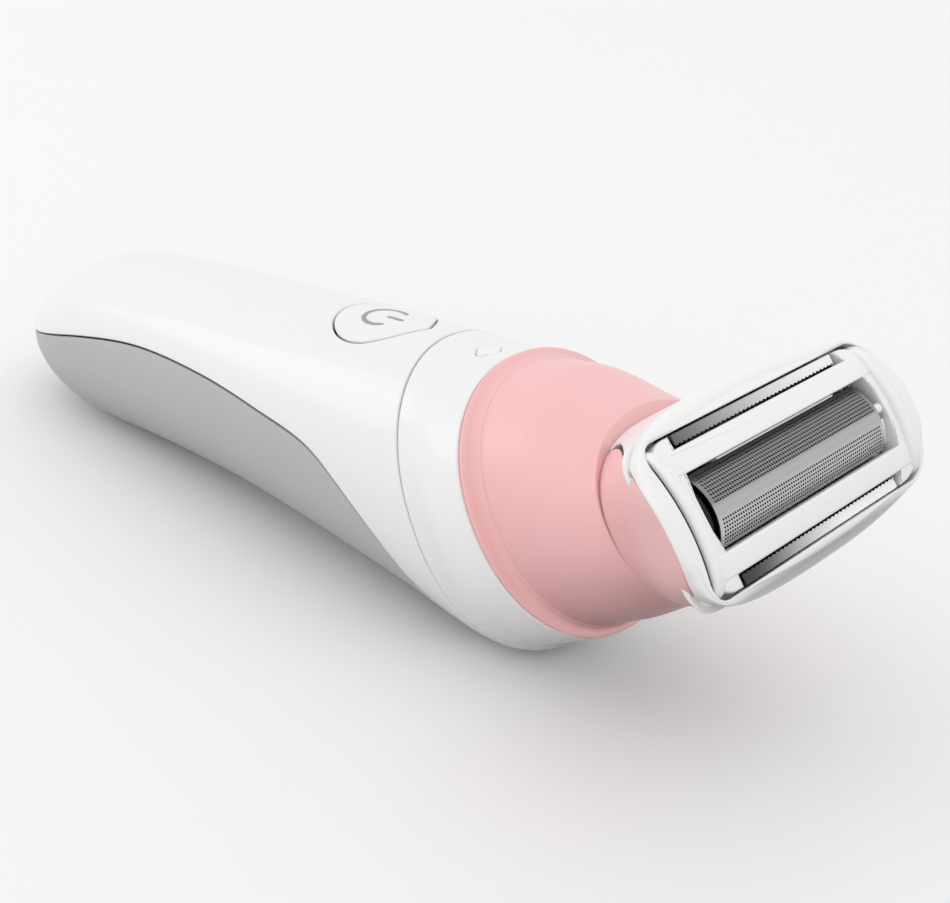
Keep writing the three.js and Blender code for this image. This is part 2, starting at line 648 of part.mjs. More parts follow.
const camBack = plateFront + 0.6;
const shaftStart = -MOTOR_FACE - 4 + RUN_GAP;
const motorShaft = () => rod(SHAFT_RADIUS, [0, 0, shaftStart], [0, 0, camBack - SEAM_GAP], 12);
const eccentricCam = () => rod(2.4, [0, 0, camBack], [0, 0, camBack + 1.4], 20)
  .add(rod(CRANK_PIN_RADIUS, [CRANK_THROW, 0, camBack + 1], [CRANK_THROW, 0, -CRANK_DEPTH + 1.8], 12));

/** Lever: a fork round the crank pin, a hub on its pivot and an arm up into the head. */
function driveLever() {
  const thick = ARM_SIZE / 2;
  const hub = rod(PIVOT_RADIUS + 1.5, [-HUB_REACH, 0, 0], [HUB_REACH, 0, 0], 20);
  const tines = boxPair([-1.8, fork.inner, fork.low], [1.8, fork.inner + 1.4, fork.high + 1]);
  const bridge = box([-1.8, -fork.inner - 1.4, fork.high], [1.8, fork.inner + 1.4, fork.high + 1.6]);
  const stem = box([-1.8, -thick, fork.high + 1], [1.8, thick, -1.5]);
  const arm = moved(
    box([ARM_OFFSET - thick, -thick, -PIVOT_DEPTH], [ARM_OFFSET + thick, thick, ARM_TOP]),
    headToDrive,
  );
  return [tines, bridge, stem, arm]
    .reduce((whole, piece) => whole.add(piece), hub)
    .subtract(pinHole(RUN_GAP));
}

const leverPin = () => rod(PIVOT_RADIUS, [-LUG_REACH, 0, 0], [LUG_REACH, 0, 0], 16);

// ---------------------------------------------------------------- head, in the head frame

/** Ring of the head's outside at a height below the face, set in by a wall. */
function headRing(z, inset, sides = 32) {
  const rise = Math.min((z + HEAD_DEPTH) / (HEAD_DEPTH - HEAD_RIM), 1);
  const rim = Math.max(z + HEAD_RIM, 0) * 0.6;
  const swell = rise + HEAD_BULGE * Math.sin(Math.PI * rise);
  const blend = (foot, full, share) => foot + (full - foot) * share;
  const halfWidth = blend(HEAD_FOOT_WIDTH, HEAD_WIDTH, swell) / 2 - inset - rim;
  const early = Math.sin(Math.PI / 2 * Math.min(2.5 * rise, 1));
  const halfThickness = blend(HEAD_FOOT_THICKNESS, HEAD_THICKNESS, early) / 2 - inset - rim;
  return Array.from({ length: sides }, (_, j) => {
    const angle = 2 * Math.PI * (j + 0.5) / sides;
    const [y, x] = ovalPoint(halfWidth, halfThickness, blend(OVAL_POWER, HEAD_POWER, rise), angle);
    return new THREE.Vector3(PLUG_SHIFT * (1 - rise) - x, y, z);
  }).reverse();
}

const headSolid = (heights, inset = 0) => skin(heights.map((z) => headRing(z, inset)));
const OUTER_HEIGHTS = [-HEAD_DEPTH, -17, -13, -9, -5, -2.4, -HEAD_RIM, 0.6];
const cavityTop = -4.4;
const INNER_HEIGHTS = [-HEAD_DEPTH + HEAD_FLOOR, -17, -13, -9, cavityTop];

/** Everything under the bowed face, raised by an amount. */
function underFace(raise = 0) {
  const reach = HEAD_THICKNESS / 2 + 3;
  const bow = [];
  for (let i = 0; i <= 12; i += 1) {
    const x = -reach + 2 * reach * i / 12;
    bow.push([x, raise - FACE_BOW * x * x]);
  }
  return sideProfile([[-reach, -40], [reach, -40], ...bow.reverse()], 40);
}

const tabHinge = [HEAD_WIDTH / 2 - 1, -DOOR_TOP - 0.5]; // y and z

/** Arched doorway at both ends of the head, or at one, shrunk by a clearance. */
function doorway(clearance) {
  const half = DOOR_THICKNESS / 2 - clearance;
  const rise = HEAD_DEPTH - DOOR_TOP - clearance;
  const points = [[half, -HEAD_DEPTH - 5]];
  for (let i = 0; i <= 20; i += 1) {
    const [x, z] = ovalPoint(half, rise, DOOR_POWER, Math.PI / 2 - Math.PI * i / 20);
    points.push([x, z - HEAD_DEPTH]);
  }
  points.push([-half, -HEAD_DEPTH - 5]);
  return sideProfile(points, 40);
}

// The tab's inner edge has room for its swing when it is pressed.
const tabStartGap = RUN_GAP + HEAD_DEPTH * Math.sin(degrees(TAB_PRESS));

const pastDoorStart = (side, clearance) => box(
  [-20, side > 0 ? DOOR_START + clearance : -40, -40],
  [20, side > 0 ? 40 : -DOOR_START - clearance, 20],
);

/** Block that fills the face's recess, with a margin added to its walls and to its depth. */
const recessBlock = (margin, deeper) => prism(
  roundedPlate(RECESS_WIDTH + 2 * margin, RECESS_THICKNESS + 2 * margin, 3 + margin),
  cavityTop - deeper,
  10,
);

function headHousing() {
  const doors = doorway(0)
    .intersect(pastDoorStart(1, 0).add(pastDoorStart(-1, 0)))
    .subtract(recessBlock(RECESS_WALL, 0));
  const sleeveHole = ovalPrism(SLEEVE_WIDTH / 2 + SEAM_GAP, SLEEVE_THICKNESS / 2 + SEAM_GAP,
    -HEAD_DEPTH - 1, -HEAD_DEPTH + HEAD_FLOOR + 1, PLUG_SHIFT);
  return headSolid(OUTER_HEIGHTS)
    .intersect(underFace())
    .subtract(headSolid(INNER_HEIGHTS, HEAD_WALL))
    .subtract(sleeveHole)
    .subtract(doors)
    .subtract(recessBlock(0, 0.5));
}

function releaseTab(side) {
  const openFoot = [-HEAD_DEPTH - 0.1, ...INNER_HEIGHTS.slice(1)];
  return headSolid(OUTER_HEIGHTS)
    .intersect(underFace())
    .subtract(headSolid(openFoot, HEAD_WALL))
    .subtract(recessBlock(RECESS_WALL + SEAM_GAP, SEAM_GAP))
    .intersect(doorway(SEAM_GAP))
    .intersect(pastDoorStart(side, tabStartGap));
}

/** Socket that slides over the neck's plug, with the plate that carries the springs. */
function headBase() {
  const sleeveTop = -HEAD_DEPTH + PLUG_LENGTH + 1;
  const outer = [SLEEVE_WIDTH / 2, SLEEVE_THICKNESS / 2];
  const plugHole = ovalPrism(PLUG_WIDTH / 2 + RUN_GAP, PLUG_THICKNESS / 2 + RUN_GAP,
    -HEAD_DEPTH - 1, sleeveTop, PLUG_SHIFT);
  const sleeve = ovalPrism(...outer, -HEAD_DEPTH + 0.1, BASE_TOP, PLUG_SHIFT)
    .subtract(plugHole);
  const flange = ovalPrism(SLEEVE_WIDTH / 2, SLEEVE_THICKNESS / 2 + 1.1, -16.2, BASE_TOP, 0);
  return sleeve.add(flange.subtract(ovalPrism(8, 7, -17, sleeveTop, 0)))
    .subtract(armWay(-HEAD_DEPTH - 1, 0))
    .intersect(headSolid(INNER_HEIGHTS, HEAD_WALL + SEAM_GAP)
      .add(box([-10.3, -12.7, -25], [10, 12.7, -17])));
}

/** Inner frame of the face: two bars, two ends with raised rims, and two snap legs. */
function headFrame() {
  const outline = roundedPlate(RECESS_WIDTH - 2 * SEAM_GAP, RECESS_THICKNESS - 2 * SEAM_GAP, 2.8);
  const plate = prism(outline, -FRAME_THICKNESS, 10);
  const halfWidth = RECESS_WIDTH / 2 - SEAM_GAP;
  const slots = [-1, 1].map((side) => {
    const inner = side * TRIMMER_SLOT_INNER;
    return box([Math.min(inner, side * 20), -TRIMMER_SLOT_WIDTH / 2, -10],
      [Math.max(inner, side * 20), TRIMMER_SLOT_WIDTH / 2, 10]);
  });
  const windowCut = box([-FOIL_WINDOW_THICKNESS / 2, -FOIL_WINDOW_WIDTH / 2, -10],
    [FOIL_WINDOW_THICKNESS / 2, FOIL_WINDOW_WIDTH / 2, 10]);
  const rims = boxPair([-20, halfWidth - FRAME_RIM_WIDTH, -40], [20, 60, 20])
    .intersect(underFace(FRAME_RIM_HEIGHT));
  const legs = boxPair([-2.5, halfWidth - 2, -6.2], [2.5, halfWidth - 0.8, -FRAME_THICKNESS + 0.5]);
  return plate.intersect(underFace().add(rims))
    .subtract(slots[0])
    .subtract(slots[1])
    .subtract(windowCut)
    .add(legs);
}

/** Half-round bar along y with its crest a given distance under the crest of the face. */
function arch(radius, halfWidth, sides = 36) {
  const middle = -FOIL_DROP - FOIL_RADIUS;
  return rod(radius, [0, -halfWidth, middle], [0, halfWidth, middle], sides);
}

const foilHalfWidth = FOIL_WINDOW_WIDTH / 2 - RUN_GAP;
const foilHalfThickness = FOIL_WINDOW_THICKNESS / 2 - RUN_GAP;
const cheekInner = foilHalfWidth - 1.2;

const shavingFoil = () => arch(FOIL_RADIUS, foilHalfWidth)
  .subtract(arch(FOIL_RADIUS - FOIL_SHEET, foilHalfWidth + 1))
  .intersect(box([-foilHalfThickness, -30, -FOIL_DROP - FOIL_RADIUS], [foilHalfThickness, 30, 5]));

function foilFrame() {
  const ring = prism(roundedPlate(2 * foilHalfWidth, 13.4, 3), FOIL_FRAME_LOW, -FRAME_THICKNESS - RUN_GAP)
    .subtract(box([-5.6, -cheekInner, -20], [5.6, cheekInner, 0]));
  const cheeks = arch(FOIL_RADIUS - FOIL_SHEET - RUN_GAP, foilHalfWidth)
    .subtract(arch(FOIL_RADIUS + 1, cheekInner))
    .intersect(box([-foilHalfThickness, -30, -7], [foilHalfThickness, 30, 0]));
  return ring.add(cheeks);
}

const cutterReach = cheekInner - CUTTER_STROKE - 2 * RUN_GAP;

const cutterBlades = () => arch(FOIL_RADIUS - FOIL_SHEET - RUN_GAP, cutterReach)
  .intersect(box([-5.2, -30, CUTTER_LOW], [5.2, 30, 5]));

const postHole = () => box([POST_PLACE - 1.8, -1.8, -20], [POST_PLACE + 1.8, 1.8, 0]);

const cutterCarrier = () => box([-4.6, -9, FOIL_FRAME_LOW], [4.6, 9, CUTTER_LOW - SEAM_GAP])
  .subtract(postHole());

const bridgeTop = FOIL_FRAME_LOW - FOIL_FLOAT - RUN_GAP;
const trimmerOuter = RECESS_THICKNESS / 2 - SEAM_GAP;
const bladeLow = bridgeTop + SEAM_GAP;

function driveBridge() {
  const plate = box([-9.4, -6, bridgeTop - 1.6], [9.4, 6, bridgeTop]);
  const half = ARM_SIZE / 2 + RUN_GAP;
  const armSlot = box([ARM_OFFSET - half, -half, -20], [ARM_OFFSET + half, half, 0]);
  const post = box([POST_PLACE - 1.5, -1.5, bridgeTop - 1], [POST_PLACE + 1.5, 1.5, -7.4]);
  return plate.subtract(armSlot).add(post);
}

/** Flat steel strip along a trimmer slot, under the bow of the face. */
function trimmerStrip(side, inner, outer, halfWidth, low, drop) {
  const edges = [side * inner, side * outer];
  return box([Math.min(...edges), -halfWidth, low], [Math.max(...edges), halfWidth, 5])
    .intersect(underFace(-drop));
}

/** Moving blade of a trimmer, with a leg down to the bridge that drives it. */
function trimmerBlade(side) {
  const [inner, outer] = [TRIMMER_SLOT_INNER + RUN_GAP, TRIMMER_SLOT_INNER + 0.9];
  const reach = TRIMMER_SLOT_WIDTH / 2 - CUTTER_STROKE - 0.2;
  const strip = trimmerStrip(side, inner, outer, reach, STRIP_LOW, 0.6);
  return strip.add(trimmerStrip(side, inner, outer, 5, bladeLow, 1));
}

const trimmerComb = (side) => trimmerStrip(side, TRIMMER_SLOT_INNER + 1.2, trimmerOuter,
  TRIMMER_SLOT_WIDTH / 2 - SEAM_GAP, STRIP_LOW, 0.4);

// ---------------------------------------------------------------- assembly

const group = (parent, matrix) => {
  const made = new THREE.Group();
  made.applyMatrix4(matrix);
  parent.add(made);
  return made;
};

const root = new THREE.Group();
const rested = group(root, pitchMatrix);
const head = group(rested, headMatrix);
const drive = group(rested, driveMatrix);

/** Add one named piece, made as a solid or as a ready geometry, to a frame. */
function piece(parent, name, shape, look) {
  let geometry = shape;
  if (!shape.isBufferGeometry) {
    const { vertProperties, triVerts } = shape.getMesh();
    geometry = new THREE.BufferGeometry();
    geometry.setAttribute('position', new THREE.BufferAttribute(new Float32Array(vertProperties), 3));
    geometry.setIndex(new THREE.BufferAttribute(new Uint32Array(triVerts), 1));
    geometry.computeVertexNormals();
  }
  const mesh = new THREE.Mesh(geometry, new THREE.MeshStandardMaterial(look));
  mesh.name = name;
  parent.add(mesh);
  return mesh;
}

piece(rested, 'top_shell', topShell(), WHITE);
piece(rested, 'rear_grip', rearGrip(), GREY);
piece(rested, 'collar_ring', collarRing(), WHITE);
piece(rested, 'charge_light', chargeLight(), LENS);
piece(rested, 'neck_band', neckBand(), PINK);
piece(rested, 'neck_dome', neckDome(), PINK);
piece(rested, 'power_button', powerButton(), WHITE);
piece(rested, 'button_seal', buttonSeal(), DARK);
piece(rested, 'chassis', chassis(), INNER);
piece(rested, 'battery_cell', batteryCell(), CELL);
piece(rested, 'battery_contact_rear', contactPlate(cellBack - 1.2), STEEL);
piece(rested, 'battery_contact_front', contactPlate(cellFront + 0.7), STEEL);
piece(rested, 'circuit_board', circuitBoard(), BOARD);
piece(rested, 'power_switch', powerSwitch(), DARK);
piece(rested, 'charge_socket', chargeSocket(), DARK);
piece(rested, 'charge_pin', chargePin(), STEEL);
piece(rested, 'motor_lead_left', motorLead(1), COPPER);
piece(rested, 'motor_lead_right', motorLead(-1), DARK);

piece(drive, 'drive_frame', driveFrame(), INNER);
piece(drive, 'frame_screw_left', frameScrew(1), STEEL);
piece(drive, 'frame_screw_right', frameScrew(-1), STEEL);
piece(drive, 'motor_can', motorCan(), STEEL);
piece(drive, 'motor_end_cap', motorEndCap(), DARK);
piece(drive, 'motor_shaft', motorShaft(), STEEL);
piece(drive, 'eccentric_cam', eccentricCam(), INNER);
piece(drive, 'drive_lever', driveLever(), INNER);
piece(drive, 'lever_pin', leverPin(), STEEL);

piece(head, 'drive_seal', driveSeal(), DARK);
piece(head, 'head_housing', headHousing(), WHITE);
piece(head, 'head_base', headBase(), WHITE);
piece(head, 'head_frame', headFrame(), WHITE);
piece(head, 'foil_frame', foilFrame(), WHITE);
piece(head, 'shaving_foil', shavingFoil(), FOIL);
piece(head, 'cutter_blades', cutterBlades(), STEEL);
piece(head, 'cutter_carrier', cutterCarrier(), INNER);
piece(head, 'drive_bridge', driveBridge(), INNER);

const FLOAT_SPRING_LENGTH = FOIL_FRAME_LOW - BASE_TOP - 2 * SEAM_GAP;
const TAB_SPRING_START = SLEEVE_WIDTH / 2 + 0.6;
[['left', 1], ['right', -1]].forEach(([name, side]) => {
  piece(head, `release_tab_${name}`, releaseTab(side), PINK);
  const floatSpring = piece(head, `float_spring_${name}`, spring(1.6, 0.4, FLOAT_SPRING_LENGTH, 3), STEEL);
  floatSpring.position.set(0, side * 10.5, BASE_TOP + SEAM_GAP);
  const tabSpring = piece(head, `tab_spring_${name}`, spring(1.2, 0.35, TAB_SPRING_LENGTH, 3), STEEL);
  tabSpring.position.set(3, side * TAB_SPRING_START, -15.8);
  tabSpring.rotation.x = -side * Math.PI / 2;
});
[['rear', -1], ['front', 1]].forEach(([name, side]) => {
  piece(head, `${name}_trimmer_blade`, trimmerBlade(side), STEEL);
  piece(head, `${name}_trimmer_comb`, trimmerComb(side), STEEL);
});

// The row's origin is under the middle of the whole object, on the surface it lies on.
root.updateMatrixWorld(true);
const bounds = new THREE.Box3().setFromObject(root, true);
rested.position.set(-(bounds.min.x + bounds.max.x) / 2, -(bounds.min.y + bounds.max.y) / 2, -bounds.min.z);
root.updateMatrixWorld(true);

/** Point and direction of an axis in the finished frame. */
function axisIn(frame, point, direction) {
  const at = new THREE.Vector3(...point).applyMatrix4(frame.matrixWorld);
  const along = new THREE.Vector3(...direction).transformDirection(frame.matrixWorld);
  return { at: at.toArray(), along: along.toArray() };
}

const pressAxis = axisIn(rested, [boardX, 0, buttonTop], [0, 0, -1]);
const leverRatio = PIVOT_DEPTH + bridgeTop;

root.userData = {
  joints: {
    button_press: { ...pressAxis, range: [0, BUTTON_TRAVEL] },
    motor_spin: { ...axisIn(drive, [0, 0, -MOTOR_FACE], [0, 0, 1]), continuous: true },
    lever_swing: { ...axisIn(drive, [0, 0, 0], [-1, 0, 0]), arm: leverRatio, stroke: CUTTER_STROKE },
    head_release: { ...axisIn(head, [0, 0, 0], [0, 0, 1]), range: [0, HEAD_TRAVEL] },
    tab_left_press: { ...axisIn(head, [0, tabHinge[0], tabHinge[1]], [-1, 0, 0]), range: [0, TAB_PRESS] },
    tab_right_press: { ...axisIn(head, [0, -tabHinge[0], tabHinge[1]], [1, 0, 0]), range: [0, TAB_PRESS] },
    foil_float: { ...axisIn(head, [0, 0, 0], [0, 0, -1]), range: [0, FOIL_FLOAT] },
    cutter_slide: { ...axisIn(head, [0, 0, 0], [0, 1, 0]), range: [-CUTTER_STROKE, CUTTER_STROKE] },
    trimmer_slide: { ...axisIn(head, [0, 0, 0], [0, 1, 0]), range: [-CUTTER_STROKE, CUTTER_STROKE] },
  },
  mounts: {
    rest_tail: axisIn(rested, restTail.toArray(), [0, 0, -1]),
    rest_belly: axisIn(rested, restBelly.toArray(), [0, 0, -1]),
  },
};

export default root;
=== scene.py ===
# %% [markdown]
# # A cordless body shaver, dressed around its working frame
#
# The shaver is a smooth hand-held body with a shaving head that leans up and forwards. The CAD model
# already says where every moving part is, so Blender's job is the visible skin: soft white shells,
# a matt grip, a glossy pink neck, and the fine metal work of the head. The frame comes first.

# %% The frame
import json
import math
import bpy
from mathutils import Matrix, Vector
import bmesh
import numpy as np


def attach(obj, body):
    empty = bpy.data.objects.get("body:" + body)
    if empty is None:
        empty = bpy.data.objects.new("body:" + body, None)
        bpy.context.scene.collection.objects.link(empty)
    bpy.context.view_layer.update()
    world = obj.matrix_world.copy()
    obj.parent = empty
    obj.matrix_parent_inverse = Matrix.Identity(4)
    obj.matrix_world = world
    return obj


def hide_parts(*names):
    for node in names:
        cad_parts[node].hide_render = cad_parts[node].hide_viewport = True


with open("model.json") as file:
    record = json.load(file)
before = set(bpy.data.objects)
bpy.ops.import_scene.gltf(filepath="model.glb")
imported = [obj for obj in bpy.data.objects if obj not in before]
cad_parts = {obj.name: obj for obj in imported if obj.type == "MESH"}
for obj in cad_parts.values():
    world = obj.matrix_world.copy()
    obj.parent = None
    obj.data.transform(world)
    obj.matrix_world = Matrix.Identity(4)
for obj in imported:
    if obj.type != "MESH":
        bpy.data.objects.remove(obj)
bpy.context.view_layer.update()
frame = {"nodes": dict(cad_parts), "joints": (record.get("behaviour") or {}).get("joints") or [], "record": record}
joints = {joint["name"]: joint for joint in frame["joints"]}

# %% [markdown]
# ## Two sets of axes
#
# The shaver lies tilted, and its head is tilted again. Working out shapes in the finished frame would
# be awkward, so each shape is worked out in millimetres in the frame where it is simple, and moved once.
# The joints say where those frames are: the head slides off along the head's own z, a release tab turns
# about the head's x, and the button is pressed along the handle's z.

# %% Handle frame and head frame
MM = 0.001
FACE_HEIGHT = 15.55  # crest of the foil above the handle's axis
TAB_HINGE_DEPTH = 1.0  # release tab's hinge below the crest

across = np.array([0.0, 1.0, 0.0])
head_out = np.array(joints["head_release"]["axis"])
head_under = np.array(joints["tab_right_press"]["axis"])
hinge = np.array(joints["tab_left_press"]["pos_m"])
crest = hinge * [1, 0, 1] + TAB_HINGE_DEPTH * MM * head_out
handle_up = -np.array(joints["button_press"]["axis"])
handle_ahead = np.array([handle_up[2], 0.0, -handle_up[0]])


def from_head(points):
    """Head frame in millimetres to the row frame: x to the underside, y to the left, z out of the face."""
    return crest + MM * (points @ np.stack([head_under, across, head_out]))


def from_handle(points):
    """Handle frame in millimetres to the row frame: x to the head, y to the left, z to the button side."""
    return crest + MM * ((points - [0, 0, FACE_HEIGHT]) @ np.stack([handle_ahead, across, handle_up]))


print("foil crest at", np.round(crest, 4))

# %% [markdown]
# ## Meshes from arrays
#
# Nearly every piece is a grid of points: rows along the piece, columns around it. A thin shell is an
# outer grid and the same grid sunk along its normals, joined along every open edge, which gives moulded
# plastic its real thickness. Points that coincide are welded, so poles and seams are closed.

# %% Grids, walls and meshes
def grid_faces(rows, columns, wrap_rows=False, wrap_columns=False):
    """Quads between neighbouring rows and columns; a wrapped direction joins its last to its first."""
    r, c = np.meshgrid(
        np.arange(rows if wrap_rows else rows - 1),
        np.arange(columns if wrap_columns else columns - 1),
        indexing="ij",
    )
    r_next, c_next = (r + 1) % rows, (c + 1) % columns
    corners = [r * columns + c, r * columns + c_next, r_next * columns + c_next, r_next * columns + c]
    return np.stack(corners, -1).reshape(-1, 4)


def weld(outer, inner, faces):
    """Points of the outer sheet within a ten-thousandth of a millimetre become one."""
    _, first, place = np.unique(np.round(outer, 4), axis=0, return_index=True, return_inverse=True)
    return outer[first], inner[first], place.reshape(-1)[faces]


def walled(outer, inner, faces):
    """Closed wall: the outer sheet, the inner sheet turned round, and a strip along every open edge."""
    outer, inner, faces = weld(outer, inner, faces)
    count = len(outer)
    edges = np.concatenate([faces[:, [i, (i + 1) % 4]] for i in range(4)])
    edges = edges[edges[:, 0] != edges[:, 1]]
    forward, back = edges[:, 0] * count + edges[:, 1], edges[:, 1] * count + edges[:, 0]
    rim = edges[~np.isin(forward, back)]
    strip = np.stack([rim[:, 1], rim[:, 0], rim[:, 0] + count, rim[:, 1] + count], 1)
    return np.concatenate([outer, inner]), np.concatenate([faces, faces[:, ::-1] + count, strip])


def whole_faces(faces):
    """Quads whose corners all differ, and as triangles those where two corners are one point."""
    same = faces == np.roll(faces, -1, 1)
    once = np.flatnonzero(same.sum(1) == 1)
    corner = np.argmax(same[once], 1)[:, None]
    triangles = np.take_along_axis(faces[once], (corner + [1, 2, 3]) % 4, 1)
    triangles = triangles[np.diff(np.sort(triangles, 1), axis=1).all(1)]
    quads = faces[np.diff(np.sort(faces, 1), axis=1).all(1)]
    return quads.tolist() + triangles.tolist()


def make_piece(name, points, faces, body, material, stands_for=(), sharp=35, shade=None):
    """Weld, turn outwards, shade smooth except over sharp edges, and hang the piece on its body. Each
    vertex notes how far it is turned under, which is how much painted shade its finish puts there: half
    of one minus its normal's part along a line that leans back a little from straight up, to the power 2.6."""
    mesh = bpy.data.meshes.new(name)
    points = np.maximum(points, [-1, -1, 0])  # the body rests on small flats, level with the floor
    mesh.from_pydata(points.tolist(), [], whole_faces(faces))
    work = bmesh.new()
    work.from_mesh(mesh)
    bmesh.ops.remove_doubles(work, verts=work.verts, dist=1e-6)
    bmesh.ops.dissolve_degenerate(work, edges=work.edges, dist=1e-7)
    if work.calc_volume(signed=True) < 0:
        bmesh.ops.reverse_faces(work, faces=work.faces)
    open_edges = sum(not edge.is_manifold for edge in work.edges)
    work.to_mesh(mesh)
    work.free()
    mesh.shade_smooth()
    mesh.set_sharp_from_angle(angle=math.radians(sharp))
    place, normal = np.empty((2, len(mesh.vertices) * 3), np.float32)
    mesh.vertices.foreach_get("co", place)
    mesh.vertex_normals.foreach_get("vector", normal)
    # Painted shade: the share of its finish's painted shade colour that each vertex takes; a piece's own shade function
    # can paint more shade or highlight.
    turned = (0.5 - 0.5 * normal.reshape(-1, 3) @ [-0.35, 0, 0.937]) ** 2.6
    if shade:
        turned = shade(place.reshape(-1, 3), turned)
    mesh.attributes.new("painted_underside_shade", "FLOAT", "POINT").data.foreach_set("value", turned.astype(np.float32))
    piece = bpy.data.objects.new(name, mesh)
    bpy.context.scene.collection.objects.link(piece)
    mesh.materials.append(material)
    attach(piece, body)
    if stands_for:
        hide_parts(*stands_for)
    print(f"{name}: {len(mesh.polygons)} faces, {open_edges} open edges")
    return piece


def join_parts(parts):
    """Several closed parts, each its points and faces, as the points and faces of one piece."""
    starts = np.cumsum([0] + [len(points) for points, _ in parts[:-1]])
    return (
        np.concatenate([points for points, _ in parts]),
        np.concatenate([faces + start for (_, faces), start in zip(parts, starts)]),
    )


# %% [markdown]
# ## Finishes
#
# Moulded plastic is never one flat colour: its skin has a very fine grain that breaks up a highlight,
# and its gloss drifts a little over the part. Both come from noise on object coordinates, so they stay
# with the piece when it moves. Brushed steel is the same idea with the noise stretched along one way.
#
# Each finish also has a painted shade colour. A vertex attribute says how far a point of the skin faces
# away from above, and the colour goes over to that painted shade there. The real plastic is one colour,
# and this is shade painted into the base colour, which soft light alone doesn't give.

# %% A material with grain and drift
def srgb(red, green, blue):
    """Screen colour from 0 to 255 as the linear colour that the shader takes."""
    share = np.array([red, green, blue]) / 255
    linear = np.where(share <= 0.04045, share / 12.92, ((share + 0.055) / 1.055) ** 2.4)
    return (*linear.tolist(), 1.0)


def finish(name, colour, roughness, grain=(900, 0.04), drift=0.05, tint=0.03, stretch=(1, 1, 1),
           painted_shade_colour=None, **sockets):
    """Principled surface whose colour and roughness drift slowly and whose grain is a fine bump. Where a
    piece turns under, its colour goes over to the painted shade colour."""
    material = bpy.data.materials.new(name)
    material.use_nodes = True
    nodes, links = material.node_tree.nodes, material.node_tree.links
    shader = nodes["Principled BSDF"]
    where = nodes.new("ShaderNodeTexCoord")
    mapping = nodes.new("ShaderNodeMapping")
    mapping.inputs["Scale"].default_value = stretch
    links.new(where.outputs["Object"], mapping.inputs["Vector"])
    slow = nodes.new("ShaderNodeTexNoise")
    slow.inputs["Scale"].default_value = 60
    slow.inputs["Detail"].default_value = 3
    links.new(mapping.outputs["Vector"], slow.inputs["Vector"])
    gloss = nodes.new("ShaderNodeMapRange")
    gloss.inputs["To Min"].default_value = max(roughness - drift, 0.02)
    gloss.inputs["To Max"].default_value = min(roughness + drift, 1)
    links.new(slow.outputs["Fac"], gloss.inputs["Value"])
    links.new(gloss.outputs["Result"], shader.inputs["Roughness"])
    shade = nodes.new("ShaderNodeMix")
    shade.data_type = "RGBA"
    base = srgb(*colour)
    shade.inputs["A"].default_value = (*[c * (1 - tint) for c in base[:3]], 1)
    shade.inputs["B"].default_value = (*[min(c * (1 + tint), 1) for c in base[:3]], 1)
    links.new(slow.outputs["Fac"], shade.inputs["Factor"])
    # Painted shade: the base colour goes over to the painted shade colour as far as the vertex attribute says.
    painted_shade_mix = nodes.new("ShaderNodeMix")
    painted_shade_mix.data_type = "RGBA"
    under = nodes.new("ShaderNodeAttribute")
    under.attribute_name = "painted_underside_shade"
    painted_shade_mix.inputs["B"].default_value = srgb(*(painted_shade_colour or colour))
    links.new(under.outputs["Fac"], painted_shade_mix.inputs["Factor"])
    links.new(shade.outputs["Result"], painted_shade_mix.inputs["A"])
    links.new(painted_shade_mix.outputs["Result"], shader.inputs["Base Color"])
    fine = nodes.new("ShaderNodeTexNoise")
    fine.inputs["Scale"].default_value = grain[0]
    links.new(mapping.outputs["Vector"], fine.inputs["Vector"])
    bump = nodes.new("ShaderNodeBump")
    bump.inputs["Strength"].default_value = grain[1]
    bump.inputs["Distance"].default_value = 0.0001
    links.new(fine.outputs["Fac"], bump.inputs["Height"])
    links.new(bump.outputs["Normal"], shader.inputs["Normal"])
    for socket, value in sockets.items():
        shader.inputs[socket.replace("_", " ")].default_value = value
    return material


# %% The shaver's finishes
# Where a finish below is given a second colour, that colour is painted shade for where the surface turns under.
WHITE = finish("white_gloss", (243, 243, 243), 0.26, grain=(1400, 0.03), tint=0.004,
               painted_shade_colour=(165, 165, 165), Coat_Weight=0.25)
GRIP = finish("grey_soft_touch", (186, 186, 186), 0.6, grain=(3200, 0.35), drift=0.06,
              painted_shade_colour=(132, 132, 132), Sheen_Weight=0.1)
PINK = finish("pink_gloss", (250, 194, 194), 0.36, grain=(1200, 0.03), tint=0.012, painted_shade_colour=(106, 48, 48),
              Coat_Weight=0.25, Coat_Roughness=0.2)
MARK = finish("grey_print", (158, 158, 160), 0.45, grain=(2500, 0.1))
HEAD_WHITE = finish("white_head", (248, 248, 247), 0.3, grain=(1800, 0.03), tint=0.006,
                    painted_shade_colour=(138, 138, 138), Coat_Weight=0.2)
STEEL = finish("brushed_steel", (214, 214, 216), 0.22, grain=(500, 0.12), stretch=(12, 0.6, 12), Metallic=1.0)
FOIL = finish("foil_steel", (206, 203, 205), 0.36, grain=(2600, 0.12), painted_shade_colour=(150, 147, 149), Metallic=1.0)
